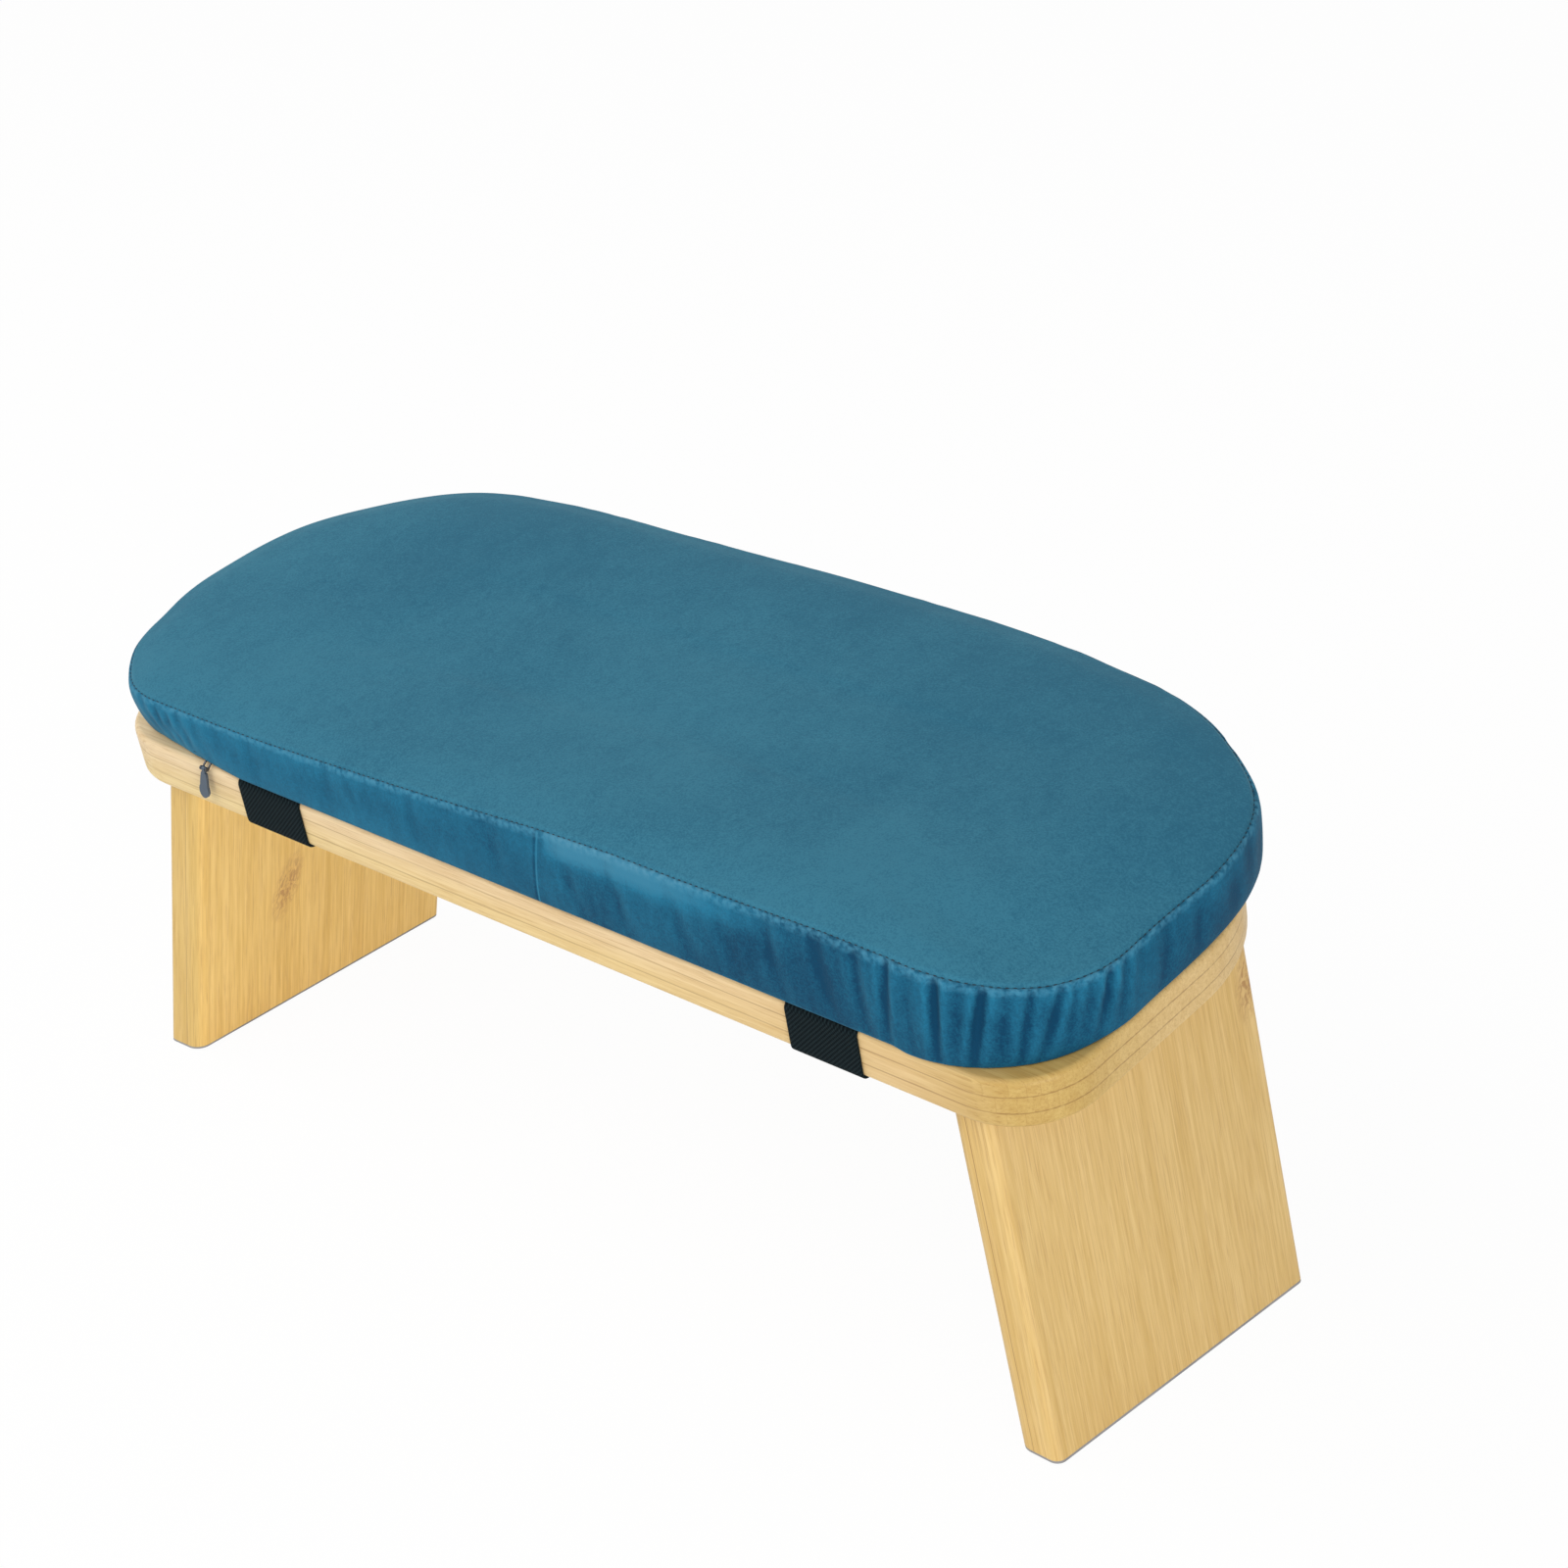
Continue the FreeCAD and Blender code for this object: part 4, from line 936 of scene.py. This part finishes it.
def core_faces(verts, base, height):
    """Plain grid inside a ring that follows the core's edge, its inner points added to verts."""
    wide, deep = FRONT_SEGMENTS, SIDE_SEGMENTS
    total = sum(RING_SEGMENTS)
    across, along = np.arange(wide + 1), np.arange(deep + 1)
    grid = np.empty((wide + 1, deep + 1), int)
    grid[:, 0] = base + across
    grid[:, deep] = base + (2 * wide + deep - across) % total
    grid[wide] = base + wide + along
    grid[0] = base + (total - along) % total
    grid[1:-1, 1:-1] = len(verts) + np.arange((wide - 1) * (deep - 1)).reshape(wide - 1, -1)
    i, j = np.mgrid[1:wide, 1:deep].reshape(2, -1)
    x = -CORE_X + 2 * CORE_X * i / wide
    y = CORE_FRONT + (CORE_REAR - CORE_FRONT) * j / deep
    verts.extend(zip(x, y, np.broadcast_to(height(x, y), len(x))))
    return np.stack([grid[:-1, :-1], grid[1:, :-1], grid[1:, 1:], grid[:-1, 1:]],
                    -1).reshape(-1, 4).tolist()


def cushion_mesh():
    """Closed cushion cover in quads: top, band and lining are its three materials. Its cover
    attribute holds the level on the band, the band's lightness with its painted light and shade,
    and the folds."""
    rings, places = cushion_rings()
    total = len(places)
    verts = [tuple(point) for ring in rings for point in ring]
    faces = [face[::-1] for face in core_faces(verts, 0, lambda x, y: UNDERSIDE_LEVEL)]
    lined = len(faces) + total * LINED_STRIPS
    this, following = np.arange(total), (np.arange(total) + 1) % total
    for first in range(0, (len(rings) - 1) * total, total):
        above = first + total
        faces += np.column_stack([first + this, first + following,
                                  above + following, above + this]).tolist()
    upper = len(verts)
    top = len(faces) - total * (len(TOP_INSETS) + len(TOP_SHARES))
    faces += core_faces(verts, above, lambda x, y: top_height(
        x, y, x, CUSHION_FRONT, seam_height(x, CUSHION_FRONT)))
    mesh = bpy.data.meshes.new("cushion_cover")
    mesh.from_pydata(verts, [], faces)
    slots = np.ones(len(faces), np.int32)
    slots[:lined], slots[top:] = 2, 0
    mesh.polygons.foreach_set("material_index", slots)
    mesh.polygons.foreach_set("use_smooth", [True] * len(faces))
    cover = np.zeros((len(verts), 3), np.float32)
    cover[upper:, 0] = ON_TOP
    for level, share in enumerate(RING_LEVELS, BAND_LEVEL):
        rows = slice(level * total, (level + 1) * total)
        cover[rows, 0] = share
        cover[rows, 1] = band_nap_and_shading(places / MM, share)
        if share < 1:
            cover[rows, 2] = band_relief(places, share) * fold_fade(share)
    data = mesh.attributes.new("cover", "FLOAT_VECTOR", "POINT").data
    data.foreach_set("vector", cover.ravel())
    return mesh


def settle_cushion(piece):
    """Let the cover swell as cloth over its filling. Its seam and its hem stay where they are
    sewn: the top only rises, the band only stands out, and neither by more than the cap."""
    props = bpy.context.scene.bench_cushion
    scene = bpy.context.scene
    rest = np.array([v.co for v in piece.data.vertices])
    out_of = np.array([v.normal for v in piece.data.vertices])
    share = np.array([d.vector[0] for d in piece.data.attributes["cover"].data])
    on_top = share > 1.5
    # The underside, the hem and the seam are held fast, and the rest is held a little.
    sewn = (share < 0.05) | ((share > 0.98) & ~on_top)
    group = piece.vertex_groups.new(name="held")
    for which, hold in ((sewn, 1.0), (~sewn, 0.1)):
        group.add(np.nonzero(which)[0].tolist(), hold, "REPLACE")
    cloth = piece.modifiers.new("Cloth", "CLOTH")
    for key, value in CLOTH.items():
        setattr(cloth.settings, key, value)
    cloth.settings.uniform_pressure_force = props.pressure
    cloth.settings.effector_weights.gravity = 0
    for step in range(1, CLOTH_STEPS + 1):
        scene.frame_set(step)
    only(piece)
    bpy.ops.object.modifier_apply(modifier=cloth.name)
    scene.frame_set(1)
    moved = np.array([v.co for v in piece.data.vertices]) - rest
    up = np.array(SEAT.to_3x3() @ Vector((0, 0, 1)))
    way = np.where(on_top[:, None], up, out_of)
    swell = (moved * way).sum(1)
    # The swelling is evened out between neighbours, so that it makes no creases of its own.
    edges = np.array([tuple(e.vertices) for e in piece.data.edges])
    degree = np.bincount(edges.ravel(), minlength=len(rest))
    for _ in range(EVENING_ROUNDS):
        total = np.bincount(edges[:, 0], swell[edges[:, 1]], len(rest))
        total += np.bincount(edges[:, 1], swell[edges[:, 0]], len(rest))
        swell = 0.4 * swell + 0.6 * total / degree
    swell = props.settle * np.tanh(np.maximum(swell, 0) / props.settle)
    free = np.where(on_top, smoothstep((share - 2) / 0.7), np.sin(np.pi * np.clip(share, 0, 1)))
    final = rest + way * (swell * free * ~sewn)[:, None]
    piece.data.vertices.foreach_set("co", final.astype(np.float32).ravel())
    piece.data.update()
    piece.vertex_groups.clear()


def seam_points(piece):
    """Points of the seam's groove on the finished cover, with the way out of the groove."""
    total = sum(RING_SEGMENTS)
    first = (BAND_LEVEL + len(BAND_SHARES) + 1) * total
    return [(v.co.copy(), v.normal.copy()) for v in piece.data.vertices[first:first + total]]


def stitched(name, seam, pitch):
    """Row of stitches laid in a seam."""
    start_clean()
    bpy.ops.mesh.primitive_uv_sphere_add(segments=6, ring_count=4, radius=1)
    template = bpy.context.active_object
    bpy.ops.transform.resize(value=(0.29 * pitch, 0.26 * MM, 0.3 * MM))
    bpy.ops.object.transform_apply()
    points = [p for p, _ in seam] + [seam[0][0]]
    lengths = np.concatenate([[0], np.cumsum([(b - a).length
                                              for a, b in zip(points, points[1:])])])
    count = round(lengths[-1] / pitch)
    places = []
    for along in lengths[-1] * (np.arange(count) + 0.5) / count:
        i = int(np.searchsorted(lengths, along)) - 1
        share = (along - lengths[i]) / (lengths[i + 1] - lengths[i])
        place = points[i].lerp(points[i + 1], share)
        run = (points[i + 1] - points[i]).normalized()
        out = seam[i][1].lerp(seam[(i + 1) % len(seam)][1], share)
        out = (out - run * out.dot(run)).normalized()
        turn = Matrix((run, out.cross(run), out)).transposed()
        places.append(Matrix.Translation(place + out * 0.02 * MM) @ turn.to_4x4())
    return repeated(name, template, places)


class BENCH_OT_cushion(bpy.types.Operator):
    """Make the velvet cushion cover"""

    bl_idname = "bench.cushion"
    bl_label = "Cushion"

    def execute(self, context):
        props = context.scene.bench_cushion
        start_clean()
        mesh = cushion_mesh()
        mesh.transform(SEAT)
        piece = linked("cushion_cover", mesh)
        for material in (
                velvet_material("velvet_top", props.velvet, props.velvet_dark, 12.0, 0.42, 0.46,
                                1.0, top_pile_gradient),
                velvet_material("velvet_band", props.band_light, props.band_dark, 12.0, 0.30,
                                0.16, 0.4, band_pile_and_light),
                lining_material()):
            mesh.materials.append(material)
        settle_cushion(piece)
        apply_modifier(piece, "SUBSURF", levels=1, render_levels=1)
        thread = stitched("top_seam_thread", seam_points(piece), props.stitch)
        assign(thread, moulded_material("sewing_thread", props.thread, 0.6, 2000.0), "seat",
               "velvet_band")
        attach(piece, "seat")
        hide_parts("cushion_foam", "cushion_top_panel", "cushion_side_band",
                    "cushion_bottom_panel")
        return {"FINISHED"}


# ---------------------------------------------------------------- straps
# Each strap's middle along the bench, and how much wider the elastic is drawn there
STRAP_PLACES = {"left": (-143.8 * MM, 1.04), "right": (152.6 * MM, 0.97)}
STRAP_EASE = 0.12 * MM
# Where the sewn ends leave the sleeve open on top, and where it is cut lengthwise in its widths
STRAP_OPEN = (20 * MM, BOARD_DEPTH - 30 * MM)
STRAP_CUTS = (-0.43, -0.215, 0.0, 0.215, 0.43)


def board_rear(x):
    """Where the board's rear face is at x, and its slope there."""
    reach = math.sqrt(BOARD_REAR_BOW ** 2 - x * x)
    return BOARD_DEPTH - BOARD_REAR_BOW + reach, -x / reach


def make_strap(name, middle, stretch):
    """Sleeve round the board's section, open on top between its sewn ends."""
    trim = bpy.context.scene.bench_trim
    width = trim.strap_width * stretch
    rear, slope = board_rear(middle)
    start_clean()
    bpy.ops.mesh.primitive_cube_add(size=1)
    piece = bpy.context.active_object
    mesh = piece.data
    piece.name = mesh.name = name
    piece.scale = (width, rear + 2 * STRAP_EASE, BOARD_THICKNESS + 2 * STRAP_EASE)
    piece.location = (middle, rear / 2, BOARD_THICKNESS / 2)
    bpy.ops.object.transform_apply()
    # The rear face follows the board's bowed rear edge.
    for vertex in mesh.vertices:
        if vertex.co.y > BOARD_DEPTH / 2:
            vertex.co.y += slope * (vertex.co.x - middle)

    def spans(edge):
        """Whether an edge runs over the strap's whole width."""
        first, second = (mesh.vertices[i].co.x for i in edge.vertices)
        return abs(first - second) > width / 2

    def upper(face):
        """Whether a face lies on top of the board."""
        return face.normal.z > 0.9

    select_where(piece, "polygons", lambda face: abs(face.normal.x) > 0.9)
    bpy.ops.mesh.delete(type="ONLY_FACE")
    select_where(piece, "edges", spans)
    bpy.ops.mesh.bevel(offset=BOARD_ARRIS + STRAP_EASE, segments=8)
    for cut in STRAP_OPEN:
        select_where(piece, "polygons", upper)
        bpy.ops.mesh.bisect(plane_co=(0, cut, 0), plane_no=(0, 1, 0))
    select_where(piece, "polygons",
                 lambda face: upper(face) and STRAP_OPEN[0] < face.center.y < STRAP_OPEN[1])
    bpy.ops.mesh.delete(type="FACE")
    for cut in STRAP_CUTS:
        select_where(piece, "polygons", lambda face: True)
        bpy.ops.mesh.bisect(plane_co=(middle + cut * width, 0, 0), plane_no=(1, 0, 0))
    face_outward()
    bpy.ops.object.mode_set(mode="OBJECT")
    apply_modifier(piece, "SOLIDIFY", thickness=trim.strap_thickness, offset=1.0)
    ease_edges(piece, 0.28 * MM)
    mesh.transform(SEAT)
    finish_mesh(piece, 40)
    return piece


class BENCH_OT_straps(bpy.types.Operator):
    """Make the two elastic straps"""

    bl_idname = "bench.straps"
    bl_label = "Straps"

    def execute(self, context):
        trim = context.scene.bench_trim
        twill = twill_material("twill_elastic", trim.elastic, trim.elastic_rib, trim.rib_pitch)
        for side, place in STRAP_PLACES.items():
            assign(make_strap(side + "_elastic", *place), twill, "seat", "elastic_strap",
                   side + "_strap")
        return {"FINISHED"}


# ---------------------------------------------------------------- wood
# Each leg's change of the strips' colours, the place of its knot along and across, and its tints:
# painted light on the left leg's inner face, none on the right leg
LEG_LOOKS = {"left": ((0.985, 0.965, 0.82), (-0.072, 0.057), left_leg_painted_light),
             "right": ((1, 1, 1), (-0.010, 0.152), no_tints)}
LEG_PLY = 0.6 * LEG_THICKNESS
LEG_LINE_WIDTH = 0.24 * MM
PAD_BULGE = 1.0 * MM


def leg_frame(sign):
    """The leg's own frame: its origin on the outer edge of its top, X through its thickness."""
    return (SEAT @ Matrix.Translation((sign * LEG_TOP_X, 0, 0))
            @ Matrix.Rotation(-sign * LEG_SPLAY, 4, "Y"))


class BENCH_OT_wood(bpy.types.Operator):
    """Make the bamboo board, the legs and their pads"""

    bl_idname = "bench.wood"
    bl_label = "Board and legs"

    def execute(self, context):
        wood = context.scene.bench_wood
        third = BOARD_THICKNESS / 3
        dressed("bamboo_board", "seat_board", "seat", "bamboo_board",
                bamboo_material("bamboo_board", SEAT, "XYZ", (third, 2 * third),
                                (wood.board_pale, wood.board_deep), board_tints_and_shade))
        for side, sign in SIDES:
            leg = side + "_leg"
            change, knot, tints = LEG_LOOKS[side]
            tones = [[a * b for a, b in zip(change, tone)] for tone in (wood.pale, wood.deep)]
            # The board's slope turns the grain away from the hinge line, along the upright edges.
            place = leg_frame(sign) @ Matrix.Rotation(-SEAT_TILT, 4, "X")
            dressed(side + "_bamboo_leg", leg, leg, "bamboo_legs",
                    bamboo_material(side + "_bamboo", place, "ZYX", (-sign * LEG_PLY, -FAR),
                                    tones, tints, knot, LEG_LINE_WIDTH))
            rubber = moulded_material(side + "_pad_rubber", context.scene.bench_trim.pad,
                                      0.7, 900.0, 0.4)
            pad = dressed(side + "_pad", side + "_foot_pad", leg, "foot_pads", rubber, 0.25 * MM)
            # The rubber bulges out to the leg's edge under the load.
            normals = [vertex.normal.copy() for vertex in pad.data.vertices]
            for vertex, normal in zip(pad.data.vertices, normals):
                vertex.co += Vector((normal.x, normal.y, 0)) * PAD_BULGE
        return {"FINISHED"}


# ---------------------------------------------------------------- metal
SCREW_HEAD = 2.9 * MM
SCREW_SHANK = 1.5 * MM
SCREW_FROM_PIN = 12 * MM
SCREW_SPACING = 24 * MM
# From the head to the tip: how far each part of the screw goes on, and how much it narrows
SCREW_PARTS = ((0.18 * MM, 1.0), (1.32 * MM, SCREW_SHANK / SCREW_HEAD), (9.0 * MM, 1.0),
               (2.4 * MM, 0.12))
RECESS = (3.3 * MM, 0.72 * MM, 2.0 * MM)
LEAF_EASE, PIN_EASE = 0.16 * MM, 0.25 * MM


def screw_template():
    """Countersunk wood screw with a cross recess, its head at the origin and its tip along Z."""
    start_clean()
    bpy.ops.mesh.primitive_circle_add(vertices=28, radius=SCREW_HEAD, fill_type="NGON")
    screw = bpy.context.active_object
    with editing(screw):
        for rise, factor in SCREW_PARTS:
            bpy.ops.mesh.extrude_region_move(TRANSFORM_OT_translate={"value": (0, 0, rise)})
            bpy.ops.transform.resize(value=(factor, factor, 1))
        face_outward()
    for turn in (0, math.pi / 2):
        bpy.ops.object.select_all(action="DESELECT")
        bpy.ops.mesh.primitive_cube_add(size=1)
        cutter = bpy.context.active_object
        cutter.scale = RECESS
        cutter.rotation_euler = (0, 0, turn)
        bpy.ops.object.transform_apply()
        apply_modifier(screw, "BOOLEAN", operation="DIFFERENCE", object=cutter, solver="EXACT")
        bpy.data.objects.remove(cutter)
    ease_edges(screw, 0.09 * MM, 1, 40)
    smooth()
    return screw


def leaf_screw_places(pin_place, side):
    """Places of one hinge pair's screws, from the pin's place in the world."""
    places = []
    for start in HINGE_STARTS:
        for along in (-SCREW_SPACING / 2, SCREW_SPACING / 2):
            spot = Vector((side * SCREW_FROM_PIN, start + HINGE_LENGTH / 2 + along,
                           PIN_OFFSET - LEAF_THICKNESS))
            turn = Matrix.Rotation(0.7 * len(places) + 0.3 * side, 4, "Z")
            places.append(pin_place @ Matrix.Translation(spot) @ turn)
    return places


class BENCH_OT_hardware(bpy.types.Operator):
    """Make the hinges' leaves and pins, and their screws"""

    bl_idname = "bench.hardware"
    bl_label = "Hinges and screws"

    def execute(self, context):
        colour = context.scene.bench_trim.steel
        steel = metal_material("plated_steel", colour, 0.28)
        pin = metal_material("pin_steel", times(colour, 0.9), 0.2)
        screw = metal_material("screw_steel", times(colour, 0.85), 0.3)
        places = {"seat": []}
        for side, sign in SIDES:
            leg = side + "_leg"
            for name in (side + "_front", side + "_rear"):
                dressed(name + "_board_leaf", name + "_seat_leaf", "seat", "hinge_steel", steel,
                        LEAF_EASE)
                dressed(name + "_wing", name + "_leg_leaf", leg, "hinge_steel", steel, LEAF_EASE)
                dressed(name + "_pin", name + "_hinge_pin", "seat", "hinge_steel", pin, PIN_EASE)
            board_pin = SEAT @ Matrix.Translation((sign * PIN_X, 0, -PIN_OFFSET))
            places["seat"] += leaf_screw_places(board_pin, -sign)
            up = (LEG_TOP_X - PIN_X) * math.sin(LEG_SPLAY) - PIN_OFFSET * math.cos(LEG_SPLAY)
            leg_pin = (leg_frame(sign)
                       @ Matrix.Translation((-sign * (LEG_THICKNESS + PIN_OFFSET), 0, up))
                       @ Matrix.Rotation(sign * math.pi / 2, 4, "Y"))
            places[leg] = leaf_screw_places(leg_pin, sign)
        for name, body in (("board", "seat"), ("left_leg", "left_leg"),
                           ("right_leg", "right_leg")):
            piece = repeated(name + "_screws", screw_template(), places[body])
            finish_mesh(piece, 35)
            assign(piece, screw, body, "screw_steel", body + "_leaf_screws")
        return {"FINISHED"}


# ---------------------------------------------------------------- zip
ZIP_Y = 4.5 * MM
ZIP_TAPE_LEVEL = 25.2 * MM
TAPE_TURN_IN = 1.2 * MM
COIL_HALF_LENGTH = ZIP_HALF_LENGTH - 4 * MM
COIL_WIDTH, COIL_DROP = 3.0 * MM, 1.1 * MM
PULL_PIVOT = Vector((-181.5, -2.0, 21.2)) * MM
PULL_LEAN = math.radians(9)
PULL_SLIMNESS = 0.8


def coil_template(pitch):
    """One turn of the zip's coil: a half-round nylon link across the tape."""
    start_clean()
    bpy.ops.mesh.primitive_cylinder_add(vertices=12, radius=COIL_WIDTH / 2, depth=0.62 * pitch,
                                        rotation=(0, math.pi / 2, 0))
    bpy.ops.object.transform_apply()
    link = bpy.context.active_object
    with editing(link):
        bpy.ops.mesh.bisect(plane_co=(0, 0, 0), plane_no=(0, 0, 1), clear_outer=True,
                            use_fill=True)
        bpy.ops.mesh.select_all(action="SELECT")
        bpy.ops.transform.resize(value=(1, 1, COIL_DROP / (COIL_WIDTH / 2)))
        bpy.ops.mesh.bevel(offset=0.1 * MM, segments=1)
    return link


class BENCH_OT_zip(bpy.types.Operator):
    """Make the zip's tape, coil, slider and pull"""

    bl_idname = "bench.zip"
    bl_label = "Zip"

    def execute(self, context):
        trim = context.scene.bench_trim
        weave = twill_material("zip_tape_weave", trim.tape, times(trim.tape, 2), 0.6 * MM)
        webbing = dressed("zip_webbing", "zip_tape", "seat", "zip_tape", weave, 0.12 * MM)
        for vertex in webbing.data.vertices:
            # The tape's front edge is turned in behind the velvet.
            if (SEAT.inverted() @ vertex.co).y < 1 * MM:
                vertex.co += SEAT.to_3x3() @ Vector((0, TAPE_TURN_IN, 0))
        count = int(2 * COIL_HALF_LENGTH / trim.coil_pitch)
        step = 2 * COIL_HALF_LENGTH / count
        places = [SEAT @ Matrix.Translation((-COIL_HALF_LENGTH + (k + 0.5) * step, ZIP_Y,
                                             ZIP_TAPE_LEVEL)) for k in range(count)]
        coil = repeated("zip_links", coil_template(trim.coil_pitch), places)
        finish_mesh(coil, 40)
        assign(coil, moulded_material("zip_coil_nylon", times(trim.tape, 1.6), 0.35), "seat",
               "zip_coil", "zip_coil")
        dressed("zip_stops", "zip_end_stops", "seat", "zip_metal",
                metal_material("zip_stop_metal", (0.35, 0.36, 0.38), 0.3), 0.2 * MM)
        dressed("zip_runner", "zip_slider", "zip_slider", "zip_slider",
                metal_material("zip_slider_metal", (0.10, 0.11, 0.13), 0.32), 0.14 * MM)
        tag = dressed("zip_tag", "zip_pull", "zip_pull", "zip_pull",
                      moulded_material("zip_pull_plastic", trim.pull, 0.34), 0.34 * MM, 3)
        # It is slim, and hangs a little askew on its bail.
        pivot = Matrix.Translation(SEAT @ PULL_PIVOT)
        tag.data.transform(pivot @ Matrix.Rotation(PULL_LEAN, 4, "Y")
                           @ Matrix.Diagonal((PULL_SLIMNESS, 1, 1, 1)) @ pivot.inverted())
        only(tag)
        smooth(50)
        return {"FINISHED"}


# ---------------------------------------------------------------- stage
FLOOR_SIZE = 30.0
FLOOR_LEVEL = -0.3 * MM
LAMP_TARGET = Vector((0.0, 0.0, 0.12))
# Each lamp's place, size and colour
LAMPS = {"key": ((-0.2, -1.7, 1.8), 1.5, (1.0, 0.98, 0.95)),
         "fill": ((2.0, -1.15, 0.2), 0.9, (1.0, 0.98, 0.96)),
         "rim": ((-1.3, -0.5, 1.7), 1.0, (1.0, 0.98, 0.96))}
CAMERA_RIGHT = (0.7606268682770281, 0.6478640225978402, -0.041460529162392346)
CAMERA_DOWN = (0.29415808331435944, -0.40088125817618536, -0.8676204463150352)
CAMERA_FORWARD = (-0.5787208215330624, 0.6477394731421142, -0.4954954950932182)
CAMERA_PLACE = (0.88775526, -0.88549858, 0.80368183)
CAMERA_SHIFT = (-0.0625, 0.1)


def area_lamp(name, power):
    """Square lamp that looks at the bench."""
    place, size, colour = LAMPS[name]
    bpy.ops.object.light_add(type="AREA", location=place)
    lamp = bpy.context.active_object
    lamp.name = name
    lamp.data.size = size
    lamp.data.energy = power
    lamp.data.color = colour
    lamp.rotation_euler = (LAMP_TARGET - Vector(place)).to_track_quat("-Z", "Y").to_euler()


def white_to_the_eye(shaded, share, output):
    """Mix that shows white to the camera and to reflections, for a share of the shader."""
    tree = shaded.id_data
    path = node(tree, "ShaderNodeLightPath").outputs
    seen = Wire(path["Is Camera Ray"])
    for ray in ("Is Glossy Ray", "Is Transmission Ray"):
        seen = seen.maths("MAXIMUM", Wire(path[ray]))
    white = node(tree, "ShaderNodeEmission", None, {"Color": (1, 1, 1), "Strength": 1.0})
    mix = node(tree, "ShaderNodeMixShader", None, {
        0: seen * share, 1: Wire(shaded.outputs[0]), 2: Wire(white.outputs[0])})
    node(tree, output, None, {0: Wire(mix.outputs[0])})


class BENCH_OT_stage(bpy.types.Operator):
    """Make the floor, the lights and the camera"""

    bl_idname = "bench.stage"
    bl_label = "Studio"

    def execute(self, context):
        scene, props = context.scene, context.scene.bench_stage
        start_clean()
        bpy.ops.mesh.primitive_grid_add(x_subdivisions=2, y_subdivisions=2, size=FLOOR_SIZE,
                                        location=(0, 0, FLOOR_LEVEL))
        floor = context.active_object
        bpy.ops.object.transform_apply()
        floor.name = "studio_floor"
        material = bpy.data.materials.new("studio_floor")
        paper = node(cleared_tree(material), "ShaderNodeBsdfDiffuse", None,
                     {"Color": (0.96, 0.96, 0.96)})
        white_to_the_eye(paper, 0.96, "ShaderNodeOutputMaterial")
        floor.data.materials.append(material)

        scene.world = bpy.data.worlds.new("studio_world")
        sky = node(cleared_tree(scene.world), "ShaderNodeBackground", None,
                   {"Color": (1.0, 0.985, 0.965), "Strength": props.sky})
        white_to_the_eye(sky, 1.0, "ShaderNodeOutputWorld")
        for name in LAMPS:
            area_lamp(name, getattr(props, name))

        camera = bpy.data.cameras.new("camera")
        camera.sensor_width = 36
        camera.lens = props.lens
        camera.shift_x, camera.shift_y = CAMERA_SHIFT
        camera.clip_start, camera.clip_end = 0.05, 20
        scene.camera = linked("camera", camera)
        right, up, back = Vector(CAMERA_RIGHT), -Vector(CAMERA_DOWN), -Vector(CAMERA_FORWARD)
        turn = Matrix((right, up, back)).transposed()
        scene.camera.matrix_world = Matrix.Translation(CAMERA_PLACE) @ turn.to_4x4()
        scene.view_settings.view_transform = "Standard"
        return {"FINISHED"}


class BENCH_PT_panel(bpy.types.Panel):
    """Bench pieces in the sidebar"""

    bl_label = "Meditation bench"
    bl_space_type = "VIEW_3D"
    bl_region_type = "UI"
    bl_category = "Bench"

    def draw(self, context):
        for name, group in GROUPS.items():
            box = self.layout.box()
            for key in group.__annotations__:
                box.prop(getattr(context.scene, name), key)
        for operator in OPERATORS:
            self.layout.operator(operator.bl_idname)


OPERATORS = (BENCH_OT_stage, BENCH_OT_wood, BENCH_OT_cushion, BENCH_OT_straps,
             BENCH_OT_hardware, BENCH_OT_zip)
GROUPS = {"bench_cushion": BenchCushion, "bench_wood": BenchWood, "bench_trim": BenchTrim,
          "bench_stage": BenchStage}
CLASSES = (*GROUPS.values(), *OPERATORS, BENCH_PT_panel)


def register():
    """Register the classes and give the scene their properties."""
    for made in CLASSES:
        bpy.utils.register_class(made)
    for name, group in GROUPS.items():
        setattr(bpy.types.Scene, name, PointerProperty(type=group))


def unregister():
    """Take the properties and the classes away."""
    for name in GROUPS:
        delattr(bpy.types.Scene, name)
    for made in reversed(CLASSES):
        bpy.utils.unregister_class(made)


def main():
    """Make every piece in order."""
    register()
    bpy.ops.bench.stage()
    bpy.ops.bench.wood()
    bpy.ops.bench.cushion()
    bpy.ops.bench.straps()
    bpy.ops.bench.hardware()
    bpy.ops.bench.zip()


if __name__ == "__main__":
    main()
